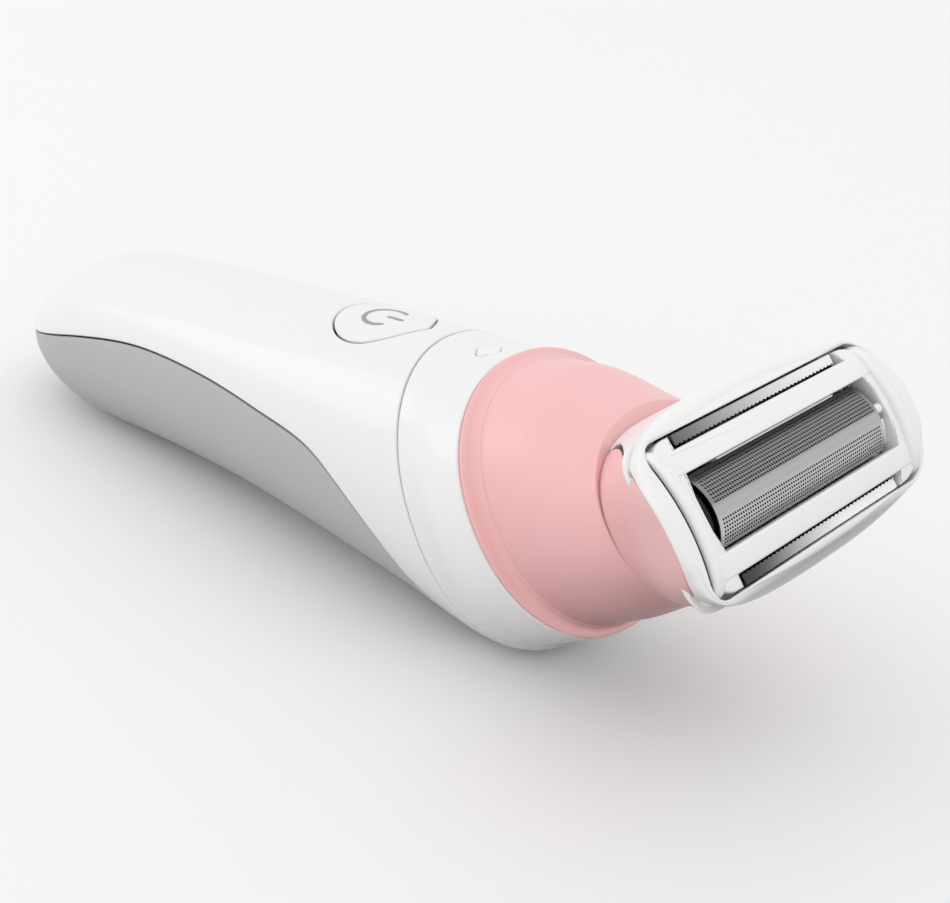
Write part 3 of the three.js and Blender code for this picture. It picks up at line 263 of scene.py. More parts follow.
# The trimmer steel's bright base and dark second colour carry a painted reflection along each comb.
TRIMMER_STEEL = finish("trimmer_steel", (250, 250, 251), 0.2, grain=(500, 0.08), stretch=(12, 0.6, 12),
                       painted_shade_colour=(56, 56, 58), Metallic=0.3)
DARK_STEEL = finish("cutter_steel", (84, 84, 88), 0.4, grain=(900, 0.15), Metallic=1.0)
INNER = finish("inner_plastic", (216, 216, 212), 0.5, grain=(1800, 0.1))
DARK = finish("dark_plastic", (40, 40, 42), 0.5, grain=(1800, 0.12), drift=0.08)
RUBBER = finish("grey_rubber", (96, 96, 98), 0.75, grain=(3000, 0.3))
LENS = finish("lens", (246, 246, 246), 0.15, grain=(800, 0.01), tint=0.004)
BOARD = finish("green_board", (34, 92, 56), 0.45, grain=(1500, 0.2), tint=0.1)
SLEEVE = finish("cell_sleeve", (76, 111, 158), 0.35, grain=(700, 0.05))
LEAD = finish("red_lead", (176, 62, 48), 0.45, grain=(2200, 0.1))
SLOT_FINISH = {
    "white_shell": HEAD_WHITE, "grey_grip": GRIP, "pink_plastic": PINK, "inner_plastic": INNER,
    "dark_plastic": DARK, "seal_rubber": RUBBER, "steel": STEEL, "foil_steel": FOIL, "board": BOARD,
    "cell_sleeve": SLEEVE, "lens": LENS, "lead_red": LEAD,
}
slot_of = {part["node"]: part["material_slot"] for part in frame["record"]["subparts"]}
for node, piece in frame["nodes"].items():
    piece.data.materials.clear()
    piece.data.materials.append(SLOT_FINISH[slot_of[node]])
print("finishes:", len(bpy.data.materials), "nodes dressed:", len(slot_of))

# %% [markdown]
# ## The body's skin
#
# The whole handle, from the round tail to the pink neck, is one family of sections: a superellipse with
# its own height, lean, half width and half height. A smooth curve through the section list gives every
# section in between, so the body is a function of two parameters: the place along the list and the
# angle round the section. Shells, seams and the button are all cut from that one function.

# %% Sections
TAIL_X, PARTING_X, SEAM_X = -161.4, -50.4, -36.8  # tail tip, parting line and pink seam
GRIP_LENGTH, COLLAR_LENGTH = PARTING_X - TAIL_X, SEAM_X - PARTING_X
SECTION_POWER = 2.12
TAIL_ROUND, TAIL_POWER = 23.0, 2.13
PARTING_PLACE, SEAM_PLACE = 6, 8  # rows of the list below

# place along the grip (0 to 1) or collar (1 to 2), lift, lean in degrees, half width, half height
HANDLE_LIST = np.array([
    [0, 1.5, 0, 15.6, 10], [0.19, 1.7, 1, 15.9, 14.6], [0.38, 2, 4, 16.3, 16],
    [0.56, 1.4, 8, 17, 17], [0.73, 0, 13, 17.9, 19], [0.88, -1.8, 18.6, 18.5, 21.5],
    [1, -3.5, 23.5, 19, 24.1], [1.57, -1.9, 26.5, 21, 22], [2, 0.3, 30, 20.7, 21],
])
# distance from the pink seam, then the same four
NECK_LIST = np.array([
    [0.3, 0.3, 30, 20.5, 21.2], [1.8, 0.8, 30, 18, 19.5], [8.6, 2.8, 31.7, 17.2, 18.1],
    [15.3, 3.9, 33.9, 16.2, 15.2], [22.1, 5, 36, 15.4, 12.4],
])
along = HANDLE_LIST[:, 0]
handle_rows, neck_rows = HANDLE_LIST.copy(), NECK_LIST.copy()
handle_rows[:, 0] = np.where(along <= 1, TAIL_X + GRIP_LENGTH * along, SEAM_X - COLLAR_LENGTH * (2 - along))
neck_rows[:, 0] += SEAM_X


def row_at(rows, place):
    """Catmull-Rom curve through the rows, whose end tangents come from the end row's mirrored neighbour."""
    place = np.asarray(place, float)
    full = np.vstack([2 * rows[0] - rows[1], rows, 2 * rows[-1] - rows[-2]])
    i = np.clip(np.floor(place).astype(int), 0, len(rows) - 2)
    u = (place - i)[..., None]
    p, q, r, s = full[i], full[i + 1], full[i + 2], full[i + 3]
    return 0.5 * (2 * q + (r - p) * u + (2 * p - 5 * q + 4 * r - s) * u**2 + (3 * (q - r) + s - p) * u**3)


def signed_power(value, power):
    """The size of a value raised to a power, with the value's own sign."""
    return np.sign(value) * np.abs(value) ** power


def skin_point(rows, place, angle):
    """Point of the body: half width times sin and half height times cos of the angle, each raised to
    2 over the section's power, leant back by the row's lean, and shrunk towards the tail's tip."""
    x, lift, lean, half_width, half_height = np.moveaxis(row_at(rows, place), -1, 0)
    nose = 1.0
    if rows is handle_rows:
        along_tail = np.clip((x - TAIL_X) / TAIL_ROUND, 0, 1)
        nose = (1 - (1 - along_tail) ** TAIL_POWER) ** (1 / TAIL_POWER)
    side = half_width * nose * signed_power(np.sin(angle), 2 / SECTION_POWER)
    up = half_height * nose * signed_power(np.cos(angle), 2 / SECTION_POWER)
    lean = np.radians(lean)
    return np.stack([x - up * np.sin(lean), side, lift + up * np.cos(lean)], -1)


def skin_normal(rows, place, angle, reach):
    """Outward normal of the body: the cross product of its two slopes, taken over small steps."""
    step = 1e-3
    low, high = np.clip(place - step, 2e-4, reach), np.clip(place + step, 4e-4, reach)
    run = skin_point(rows, high, angle) - skin_point(rows, low, angle)
    # round the section the step is wide enough to span its straight stretches at 0 and 90 degrees
    inside = np.maximum(place, 3e-4)
    turn = skin_point(rows, inside, angle + 0.02) - skin_point(rows, inside, angle - 0.02)
    normal = np.cross(turn, run)
    normal /= np.maximum(np.linalg.norm(normal, axis=-1, keepdims=True), 1e-9)
    middle = row_at(rows, place)[..., :2]
    outward = skin_point(rows, place, angle) - np.stack([middle[..., 0], 0 * place, middle[..., 1]], -1)
    facing = np.sum(normal * outward, -1, keepdims=True)
    return np.where(facing < 0, -normal, normal)


def skin_sheet(rows, place, angle, sink, reach):
    """Skin points sunk along their normals."""
    return skin_point(rows, place, angle) - sink[..., None] * skin_normal(rows, place, angle, reach)


place_fine = np.linspace(0, SEAM_PLACE, 4001)
x_fine = row_at(handle_rows, place_fine)[:, 0]


def place_of_x(x):
    """Place along the handle's list at which its axis reaches x."""
    return np.interp(x, x_fine, place_fine)


print("handle from", TAIL_X, "to", SEAM_X, "mm;", "widest", 2 * handle_rows[:, 3].max(), "mm")

# %% [markdown]
# ## Where the grip ends
#
# Seen from the side, the soft grey grip ends in one long leaf-shaped line. Each section of the body
# crosses that line at one angle, and the white shell keeps the part above it. Where a section lies
# wholly above the line, the angle is half a turn and the shell goes all the way round.

# %% Grip line
# fraction of the grip's length from the tail, and height in the handle frame
GRIP_LINE = np.array([
    [-0.02, 0.4], [0.085, 2.9], [0.24, 6.3], [0.39, 8.2], [0.545, 7.6], [0.68, 5.6],
    [0.79, 3], [0.865, -2.3], [0.925, -8.3], [0.98, -16], [1.02, -22], [1.06, -28],
])
line_fine = row_at(GRIP_LINE, np.linspace(0, len(GRIP_LINE) - 1, 1200))


def grip_angle(place):
    """Angle from the top at which each section meets the grip line: the height above the line is
    worked out for a fan of angles, and its sign change is found between two of them."""
    fan = np.linspace(0.05, np.pi, 900)
    points = skin_point(handle_rows, place[:, None] + 0 * fan, 0 * place[:, None] + fan)
    line_height = np.interp(points[..., 0], TAIL_X + GRIP_LENGTH * line_fine[:, 0], line_fine[:, 1])
    above = points[..., 2] - line_height
    below = above < 0
    hit = np.argmax(below, 1)
    k = np.maximum(hit, 1)
    rows = np.arange(len(place))
    share = above[rows, k - 1] / np.maximum(above[rows, k - 1] - above[rows, k], 1e-12)
    return np.where(below.any(1), fan[k - 1] + share * (fan[k] - fan[k - 1]), np.pi)


shell_end = PARTING_PLACE - 0.03
scan = np.linspace(1e-4, shell_end, 6000)
leaf = scan[grip_angle(scan) < np.pi]
leaf_start, leaf_end = leaf[0], leaf[-1]
print("grip runs from place", round(leaf_start, 3), "to", round(leaf_end, 3))

# %% [markdown]
# ## Edges that catch the light
#
# A moulded edge is never knife sharp. The last few rows and columns before every seam sit at fixed small
# distances from it and sink by the amounts of a quarter circle, so each seam gets a soft rolled lip.

# %% Rolled lips
LIP = 0.32  # radius of a shell's edge
lip_turn = np.linspace(0, np.pi / 2, 6)
lip_reach = LIP * (1 - np.sin(lip_turn))[::-1]  # distance from the edge, outermost first
lip_sink = LIP * (1 - np.cos(lip_turn))[::-1]
SHELL_WALL = 1.8


def with_lips(low, high, count, per_mm):
    """Values from low to high with the lip's steps at both ends, and how far each one is sunk."""
    edge = lip_reach * per_mm
    between = np.linspace(low + 3 * LIP * per_mm, high - 3 * LIP * per_mm, count)
    values = np.concatenate([low + edge, between, (high - edge)[::-1]])
    sink = np.concatenate([lip_sink, np.zeros(count), lip_sink[::-1]])
    return values, sink


print("lip steps", np.round(lip_reach, 3), "sunk", np.round(lip_sink, 3))

# %% [markdown]
# ## A sheet with a window in it
#
# The power button sits in a teardrop opening and the charge light in a small capsule. The shell's grid
# loses a rectangle of cells there, and rings of points are drawn from the rectangle's rim to the
# opening's outline. Seen from above a ring is a plain blend of the two outlines; each of its points is
# then lifted onto the body's skin, so the patch has exactly the shell's curvature.

# %% Finding the skin above a point
def on_top(rows, x, y, reach):
    """Place and angle of the skin point above (x, y): the angle follows from y, and the place is moved
    until the leant section stands over x."""
    place = np.interp(x, row_at(rows, np.linspace(0, reach, 2001))[:, 0], np.linspace(0, reach, 2001))
    for _ in range(30):
        half_width = row_at(rows, place)[..., 3]
        angle = np.arcsin(np.clip(signed_power(y / half_width, SECTION_POWER / 2), -1, 1))
        miss = x - skin_point(rows, place, angle)[..., 0]
        slope = skin_point(rows, place + 0.01, angle)[..., 0] - skin_point(rows, place - 0.01, angle)[..., 0]
        place = np.clip(place + 0.02 * miss / slope, 0, reach)
    return place, angle


def outline_reach(outline, middle, direction):
    """Distance from the middle to a closed outline in each direction."""
    away = outline - middle
    bearing = np.unwrap(np.arctan2(away[:, 1], away[:, 0]))
    order = np.argsort(bearing % (2 * np.pi))
    return np.interp(direction % (2 * np.pi), (bearing % (2 * np.pi))[order],
                     np.hypot(*away.T)[order], period=2 * np.pi)


RING_OFFSETS = np.array([1.2, 0.8, 0.5])  # rings outside a large window
SMALL_RING_OFFSETS = np.array([0.7, 0.55, 0.4])  # and outside a small one


def window_patch(rows, rim_points, outline, middle, reach, offsets):
    """Rings from a rectangle's rim to the outline, with the outline's own lip at the end."""
    from_middle = rim_points - middle
    direction = np.arctan2(from_middle[:, 1], from_middle[:, 0])
    edge = outline_reach(outline, middle, direction)
    rim = np.hypot(*from_middle.T)
    lip = np.concatenate([offsets, lip_reach[::-1]])
    sink = np.concatenate([0 * offsets, lip_sink[::-1]])
    blend = np.linspace(0, 1, 6)[:-1, None]
    radius = np.vstack([rim + blend * (edge + offsets[0] - rim), edge + lip[:, None]])
    sunk = np.concatenate([np.zeros(5), sink])
    x = middle[0] + radius * np.cos(direction)
    y = middle[1] + radius * np.sin(direction)
    place, angle = on_top(rows, x, y, reach)
    return place, angle, np.broadcast_to(sunk[:, None], x.shape)


def windowed_shell(rows, place, angle, sink, cells, outline, middle, reach, wall, offsets=RING_OFFSETS):
    """Walled sheet from a grid of places and angles that loses a rectangle of cells to a window.
    cells holds the first and last row and column of the rectangle."""
    row_low, row_high, col_low, col_high = cells
    count, columns = place.shape
    faces = grid_faces(count, columns)
    r, c = faces[:, 0] // columns, faces[:, 0] % columns
    faces = faces[~((r >= row_low) & (r < row_high) & (c >= col_low) & (c < col_high))]
    loop_r = np.concatenate([np.arange(row_low, row_high), np.full(col_high - col_low, row_high),
                             np.arange(row_high, row_low, -1), np.full(col_high - col_low, row_low)])
    loop_c = np.concatenate([np.full(row_high - row_low, col_low), np.arange(col_low, col_high),
                             np.full(row_high - row_low, col_high), np.arange(col_high, col_low, -1)])
    rim = skin_point(rows, place[loop_r, loop_c], angle[loop_r, loop_c])[:, :2]
    p_place, p_angle, p_sink = window_patch(rows, rim, outline, middle, reach, offsets)
    p_place[0], p_angle[0] = place[loop_r, loop_c], angle[loop_r, loop_c]
    ring_faces = grid_faces(*p_place.shape, wrap_columns=True) + place.size
    pairs = ((place, p_place), (angle, p_angle), (sink, p_sink))
    every = [np.concatenate([grid.ravel(), patch.ravel()]) for grid, patch in pairs]
    outer = skin_sheet(rows, *every, reach)
    inner = skin_sheet(rows, every[0], every[1], np.full(len(every[0]), wall), reach)
    grid_normal = np.cross(outer[faces[0, 1]] - outer[faces[0, 0]], outer[faces[0, 3]] - outer[faces[0, 0]])
    ring_normal = np.cross(outer[ring_faces[0, 1]] - outer[ring_faces[0, 0]],
                           outer[ring_faces[0, 3]] - outer[ring_faces[0, 0]])
    outward = skin_normal(rows, every[0], every[1], reach)
    if (grid_normal @ outward[faces[0, 0]]) * (ring_normal @ outward[ring_faces[0, 0]]) < 0:
        ring_faces = ring_faces[:, ::-1]
    return walled(outer, inner, np.concatenate([faces, ring_faces]))


# %% The button's teardrop
BUTTON_X, BUTTON_RADIUS, BUTTON_TIP = -73.8, 7.9, -64.7
OPENING_GAP = 0.3


def quadratic(start, pull, end, t):
    """Quadratic curve: the start fades into the pull point and the pull point into the end."""
    t = t[:, None]
    return (1 - t) ** 2 * start + 2 * t * (1 - t) * pull + t**2 * end


def teardrop(clearance):
    """Closed outline in x and y: an arc round the tail end and two curves that meet in the tip."""
    radius = BUTTON_RADIUS + clearance
    middle, tip = np.array([BUTTON_X, 0]), np.array([BUTTON_TIP + 2 * clearance, 0])
    turn = np.linspace(0.4 * np.pi, 1.6 * np.pi, 160)
    arc = middle + radius * np.stack([np.cos(turn), np.sin(turn)], 1)
    t = np.linspace(0, 1, 80)[1:]
    near = quadratic(arc[-1], middle + radius * np.array([0.8, -0.75]), tip, t)
    far = quadratic(tip, middle + radius * np.array([0.8, 0.75]), arc[0], t)
    return np.concatenate([arc, near, far[:-1]])


button_middle = np.array([BUTTON_X + 0.6, 0.0])
print("button", round(BUTTON_TIP - BUTTON_X + BUTTON_RADIUS, 1), "mm long")

# %% [markdown]
# ## The white top shell
#
# A top shell like this is one thin moulding, open along the grip line and across the parting line. The
# rows crowd together at the round tail, where the skin turns fastest, and at the tip of the leaf, where
# the two edges of the opening meet and the shell closes under the body.

# %% Top shell
TOP_FAN = 0.75  # angle on both sides of the top inside which the columns run straight along the body


def shell_columns(edge_angle, top_count, side_count):
    """Angles of every row from one edge to the other: evenly over the top, then from the top fan to the
    edge's lip on both sides. Also gives how far each column is sunk, where the row has an edge at all."""
    per_mm = 1 / 17.0  # radians for a millimetre of skin
    edge = lip_reach * per_mm
    top = np.linspace(-TOP_FAN, TOP_FAN, top_count) * np.ones((len(edge_angle), 1))
    share = np.linspace(0, 1, side_count + 1)[1:]
    side = TOP_FAN + (edge_angle - 3 * LIP * per_mm - TOP_FAN)[:, None] * share
    lip = (edge_angle[:, None] - edge)[:, ::-1]
    angle = np.concatenate([-lip[:, ::-1], -side[:, ::-1], top, side, lip], 1)
    flat = np.zeros(top_count + 2 * side_count)
    depth = np.concatenate([lip_sink, flat, lip_sink[::-1]])
    return angle, np.where((edge_angle < np.pi - 1e-9)[:, None], depth, 0)


tail_x = TAIL_X + TAIL_ROUND * (1 - np.cos(np.linspace(0.02, np.pi / 2, 26)))
body_x = np.linspace(TAIL_X + TAIL_ROUND, PARTING_X, 110)[1:]
shell_places = np.concatenate([[1e-5], place_of_x(tail_x), place_of_x(body_x)])
shell_places = np.concatenate([shell_places, leaf_end - np.geomspace(0.002, 0.2, 12), [leaf_start, leaf_end]])
end_lip = (shell_end - lip_reach / 13.0)[::-1]  # a row of the list is about 13 mm long here
shell_places = np.unique(shell_places[shell_places < end_lip[0] - 0.01])
shell_places = np.concatenate([shell_places, end_lip])
row_sink = np.concatenate([np.zeros(len(shell_places) - len(lip_sink)), lip_sink[::-1]])
edge_angle = grip_angle(shell_places)
angle, sink = shell_columns(edge_angle, 65, 34)
place = np.broadcast_to(shell_places[:, None], angle.shape)
sink = np.maximum(sink, row_sink[:, None])


def window_cells(rows, place, angle, x_low, x_high, half_width):
    """First and last row and column of the smallest rectangle of cells that holds the window."""
    points = skin_point(rows, place, angle)
    middle = points.shape[1] // 2
    x = points[:, middle, 0]
    row_low, row_high = np.searchsorted(x, x_low) - 1, np.searchsorted(x, x_high) + 1
    y = np.abs(points[row_low:row_high + 1, :, 1]).min(0)
    top = np.abs(angle[row_low:row_high + 1]).max(0) < np.pi / 2
    inside = np.flatnonzero((y < half_width) & top)
    return row_low, row_high, inside[0] - 1, inside[-1] + 1


cells = window_cells(handle_rows, place, angle, BUTTON_X - BUTTON_RADIUS - 2.2, BUTTON_TIP + 2.2, BUTTON_RADIUS + 2)
points, faces = windowed_shell(handle_rows, place, angle, sink, cells, teardrop(OPENING_GAP), button_middle,
                               PARTING_PLACE, SHELL_WALL)
make_piece("top_shell_skin", from_handle(points), faces, "handle", WHITE, ["top_shell"])

# %% [markdown]
# ## The soft grip
#
# The grip is the rest of the same skin, so it uses the same function with the angles taken the other
# way round, from one edge of the leaf under the body to the other. A soft-touch layer is moulded over
# hard plastic and ends in the same rolled lip, a seam's gap away from the white.

# %% Rear grip
SEAM_ANGLE = 0.3 / 17.0
grip_places = np.concatenate([
    leaf_start + np.geomspace(0.004, 0.3, 14) - 0.003, np.linspace(leaf_start + 0.32, leaf_end - 0.32, 90),
    (leaf_end - np.geomspace(0.002, 0.3, 16))[::-1]])
edge_angle = grip_angle(grip_places)
room = np.maximum(np.pi - edge_angle - SEAM_ANGLE, 1e-4)
share = np.linspace(-1, 1, 81)
lip_angle = np.minimum(lip_reach / 17.0, room[:, None] * 0.4)
angle = np.pi + np.concatenate([-(room[:, None] - lip_angle), (room - lip_angle[:, 0])[:, None] * share * 0.97,
                                (room[:, None] - lip_angle)[:, ::-1]], 1)
sink = np.concatenate([lip_sink, np.zeros(len(share)), lip_sink[::-1]]) * np.ones((len(room), 1))
sink = np.minimum(sink, 17.0 * room[:, None] * 0.5)
place = np.broadcast_to(grip_places[:, None], angle.shape)
every = [a.ravel() for a in (place, angle, sink)]
outer = skin_sheet(handle_rows, *every, PARTING_PLACE)
inner = skin_sheet(handle_rows, every[0], every[1], np.full(len(every[0]), SHELL_WALL), PARTING_PLACE)
points, faces = walled(outer, inner, grid_faces(*place.shape))
make_piece("rear_grip_skin", from_handle(points), faces, "handle", GRIP, ["rear_grip"])

# %% [markdown]
# ## The collar and its light
#
# Between the shell and the pink neck sits a plain white ring. It takes the same sections, all the way
# round, with a rolled lip at both ends. A small capsule on its top is the charge light's window: the
# light pipe behind it is a separate pale lens piece that stands a hair proud of the ring.

# %% Collar ring
LIGHT_X, LIGHT_HALF, LIGHT_RADIUS = SEAM_X - COLLAR_LENGTH / 2 - 9, 1.5, 0.8
collar_low, collar_high = PARTING_PLACE, SEAM_PLACE - 0.03


def capsule(middle_x, half, radius, clearance=0.0):
    """Closed outline across the body: two half circles joined by straight sides."""
    turn = np.linspace(0, np.pi, 40)
    arc = (radius + clearance) * np.stack([np.cos(turn), np.sin(turn)], 1)
    return np.concatenate([arc + [middle_x, half], -arc + [middle_x, -half]])


places, row_sink = with_lips(collar_low, collar_high, 26, 1 / 7.0)
angles = np.linspace(-np.pi, np.pi, 193)
place, angle = np.meshgrid(places, angles, indexing="ij")
sink = np.broadcast_to(row_sink[:, None], place.shape)
cells = window_cells(handle_rows, place, angle, LIGHT_X - 2.2, LIGHT_X + 2.2, LIGHT_HALF + LIGHT_RADIUS + 1.4)
points, faces = windowed_shell(handle_rows, place, angle, sink, cells,
                               capsule(LIGHT_X, LIGHT_HALF, LIGHT_RADIUS, 0.12), np.array([LIGHT_X, 0.0]),
                               SEAM_PLACE, SHELL_WALL, SMALL_RING_OFFSETS)
make_piece("collar_skin", from_handle(points), faces, "handle", WHITE, ["collar_ring"])


# %% Light and button caps
def cap_on_skin(rows, outline, middle, reach, wall, proud=0.0, rings=14, lip=1.0):
    """Plug that fills a window: rings shrink from the outline to its middle, lifted onto the skin, with
    a rolled lip at the rim, and the same sheet again a wall deeper. lip scales the lip's width."""
    turn = np.linspace(-np.pi, np.pi, 241)[:-1]
    edge = outline_reach(outline, middle, turn)
    steps = np.concatenate([edge - lip * lip_reach[::-1, None],
                            (edge - 3 * LIP) * np.linspace(1, 0, rings)[:, None]])
    depth = np.concatenate([lip_sink[::-1], np.zeros(rings)]) - proud
    order = np.argsort(-steps[:, 0])
    steps, depth = steps[order], depth[order]
    x, y = middle[0] + steps * np.cos(turn), middle[1] + steps * np.sin(turn)
    place, angle = on_top(rows, x, y, reach)
    sink = np.broadcast_to(depth[:, None], x.shape)
    every = [a.ravel() for a in (place, angle, sink)]
    outer = skin_sheet(rows, *every, reach)
    inner = skin_sheet(rows, every[0], every[1], np.full(len(every[0]), wall), reach)
    return walled(outer, inner, grid_faces(*x.shape, wrap_columns=True))


points, faces = cap_on_skin(handle_rows, teardrop(0.0), button_middle, PARTING_PLACE, 1.4, rings=26)
make_piece("power_button_cap", from_handle(points), faces, "button", WHITE, ["power_button"])
points, faces = cap_on_skin(handle_rows, capsule(LIGHT_X, LIGHT_HALF, LIGHT_RADIUS), np.array([LIGHT_X, 0.0]),
                            SEAM_PLACE, 1.0, proud=0.05, lip=0.5)
make_piece("charge_light_pipe", from_handle(points), faces, "handle", LENS, ["charge_light"])

# %% [markdown]
# ## The power mark
#
# The mark is printed in grey: an open ring with a bar in its gap. A print is almost flat, so it is a
# ribbon a few hundredths of a millimetre thick that follows a path on the button's skin. It rides on
# the button, so it goes down with it.

# %% Power mark
MARK_RADIUS, MARK_WIDTH, MARK_PROUD = 3.3, 0.75, 0.03


def ribbon_on_skin(path_x, path_y, width, rows, reach, proud, thick=0.2):
    """Ribbon along a path seen from above: points to each side of it, half a width away, set on the skin."""
    direction = np.stack([np.gradient(path_x), np.gradient(path_y)], 1)
    direction /= np.linalg.norm(direction, axis=1, keepdims=True)
    ends = np.minimum(np.arange(len(path_x)), np.arange(len(path_x))[::-1])
    spread = np.sqrt(np.clip(1 - (1 - np.minimum(ends / 5, 1)) ** 2, 0, 1)) * width / 2
    side = np.linspace(-1, 1, 5)
    x = path_x[:, None] - direction[:, 1:] * spread[:, None] * side
    y = path_y[:, None] + direction[:, :1] * spread[:, None] * side
    place, angle = on_top(rows, x, y, reach)
    flat = np.full(place.size, -proud)
    outer = skin_sheet(rows, place.ravel(), angle.ravel(), flat, reach)
    inner = skin_sheet(rows, place.ravel(), angle.ravel(), flat + thick, reach)
    return walled(outer, inner, grid_faces(*x.shape))


turn = np.linspace(np.radians(48), np.radians(312), 90)
ring = ribbon_on_skin(BUTTON_X + MARK_RADIUS * np.cos(turn), MARK_RADIUS * np.sin(turn), MARK_WIDTH,
                      handle_rows, PARTING_PLACE, MARK_PROUD)
bar = ribbon_on_skin(BUTTON_X + np.linspace(0.4, 3.9, 30), np.zeros(30), MARK_WIDTH,
                     handle_rows, PARTING_PLACE, MARK_PROUD)
points, faces = join_parts([ring, bar])
make_piece("power_mark", from_handle(points), faces, "button", MARK)

# %% [markdown]
# ## The pink neck
#
# The neck starts with a narrow band that steps steeply inwards from the collar, and then swells into a
# dome that carries the head. Both are rings of the neck's own section list. The dome is cut by the flat
# shoulder on which the head sits, so each column is followed up to the height where it meets that plane.

# %% Neck band
HEAD_SHOULDER = -20.8  # the neck's flat top below the crest, along the head's own z


def head_height(points):
    """Height of handle-frame points along the head's own z, in millimetres."""
    return ((from_handle(points) - crest) @ head_out) / MM


angles = np.linspace(0, 2 * np.pi, 161)[:-1]
places, row_sink = with_lips(0.0, 1.3, 9, 1 / 2.6)
places, row_sink = places[places < 0.99], row_sink[places < 0.99]
places, row_sink = np.append(places, 0.995), np.append(row_sink, 0.0)
place, angle = np.meshgrid(places, angles, indexing="ij")
every = [place.ravel(), angle.ravel(), np.repeat(row_sink, len(angles))]
outer = skin_sheet(neck_rows, *every, 4)
inner = skin_sheet(neck_rows, every[0], every[1], np.full(len(every[0]), 1.5), 4)
points, faces = walled(outer, inner, grid_faces(*place.shape, wrap_columns=True))
make_piece("neck_band_skin", from_handle(points), faces, "handle", PINK, ["neck_band"])

# %% Neck dome with the plug that carries the head
PLUG_HALF_WIDTH, PLUG_HALF_THICKNESS, PLUG_LENGTH, PLUG_SHIFT, OVAL_POWER = 11.0, 8.6, 3.6, -0.5, 2.3
ARM_OFFSET, ARM_HALF_WAY_X, ARM_HALF_WAY_Y = -2.5, 1.8, 2.8


def oval(half_width, half_thickness, power, angle, z, middle=0.0):
    """Head-frame superellipse at one height; angle 0 is its upper side, which faces the button."""
    y = half_width * signed_power(np.sin(angle), 2 / power)
    x = middle - half_thickness * signed_power(np.cos(angle), 2 / power)
    return np.stack([x, y, np.broadcast_to(z, x.shape)], -1)


def to_handle(points):
    """Head frame to handle frame, both in millimetres."""
    in_row = (from_head(points) - crest) / MM
    return in_row @ np.stack([handle_ahead, across, handle_up]).T + [0, 0, FACE_HEIGHT]


angles = np.linspace(0, 2 * np.pi, 161)[:-1]
run = np.linspace(1, 4, 700)
heights = head_height(skin_point(neck_rows, run[:, None] + 0 * angles, 0 * run[:, None] + angles))
meet = np.array([np.interp(HEAD_SHOULDER - LIP, h, run) for h in heights.T])
share, row_sink = np.linspace(0, 1, 72), np.zeros(72)
place = 1 + share[:, None] * (meet - 1)
angle = np.broadcast_to(angles, place.shape)
every = [place.ravel(), angle.ravel(), np.repeat(row_sink, len(angles))]
outside = skin_sheet(neck_rows, *every, 4).reshape(*place.shape, 3)
inside = skin_sheet(neck_rows, every[0], every[1], np.full(len(every[0]), SHELL_WALL), 4).reshape(*place.shape, 3)
shoulder_rim = outside[-1]
middle_of_rim = shoulder_rim.mean(0)
top_rings = [
    to_handle(oval(PLUG_HALF_WIDTH + 1, PLUG_HALF_THICKNESS + 1, OVAL_POWER, angles, HEAD_SHOULDER, PLUG_SHIFT)),
    to_handle(oval(PLUG_HALF_WIDTH, PLUG_HALF_THICKNESS, OVAL_POWER, angles, HEAD_SHOULDER + 0.05, PLUG_SHIFT)),
    to_handle(oval(PLUG_HALF_WIDTH, PLUG_HALF_THICKNESS, OVAL_POWER, angles,
                   HEAD_SHOULDER + PLUG_LENGTH - 0.4, PLUG_SHIFT)),
    to_handle(oval(PLUG_HALF_WIDTH - 0.12, PLUG_HALF_THICKNESS - 0.12, OVAL_POWER, angles,
                   HEAD_SHOULDER + PLUG_LENGTH - 0.12, PLUG_SHIFT)),
    to_handle(oval(PLUG_HALF_WIDTH - 0.4, PLUG_HALF_THICKNESS - 0.4, OVAL_POWER, angles,
                   HEAD_SHOULDER + PLUG_LENGTH, PLUG_SHIFT)),
    to_handle(oval(ARM_HALF_WAY_Y, ARM_HALF_WAY_X, 9, angles, HEAD_SHOULDER + PLUG_LENGTH, ARM_OFFSET)),
    to_handle(oval(ARM_HALF_WAY_Y, ARM_HALF_WAY_X, 9, angles, HEAD_SHOULDER - SHELL_WALL, ARM_OFFSET)),
]
towards = middle_of_rim - shoulder_rim
towards /= np.linalg.norm(towards, axis=1, keepdims=True)
lift = to_handle(np.array([[0, 0, 1.0]]))[0] - to_handle(np.array([[0, 0, 0.0]]))[0]
rolled = [shoulder_rim + towards * LIP * (1 - math.cos(a)) + lift * LIP * math.sin(a)
          for a in np.linspace(0.3, np.pi / 2, 5)]
loft = np.concatenate([outside, np.stack(rolled + top_rings), inside[::-1]])
points, faces = loft.reshape(-1, 3), grid_faces(len(loft), len(angles), wrap_rows=True, wrap_columns=True)
make_piece("neck_dome_skin", from_handle(points), faces, "handle", PINK, ["neck_dome"])

# %% [markdown]
# ## The head's outside
#
# The shaving head flares from a small oval foot to a wide face with squarer corners. Each height has
# its own superellipse, whose width, thickness and squareness all follow how far it has risen. The face
# itself is bowed: it falls away from its middle as the square of the distance, and its edge is rounded.

# %% Head surface
HEAD_DEPTH, HEAD_FOOT, HEAD_FACE = 20.5, (31.6, 25.6), (55.1, 25.9)
HEAD_BULGE, FACE_POWER, FACE_BOW, FACE_EDGE = 0.12, 3.8, 0.019, 0.7
HEAD_WALL = 1.6


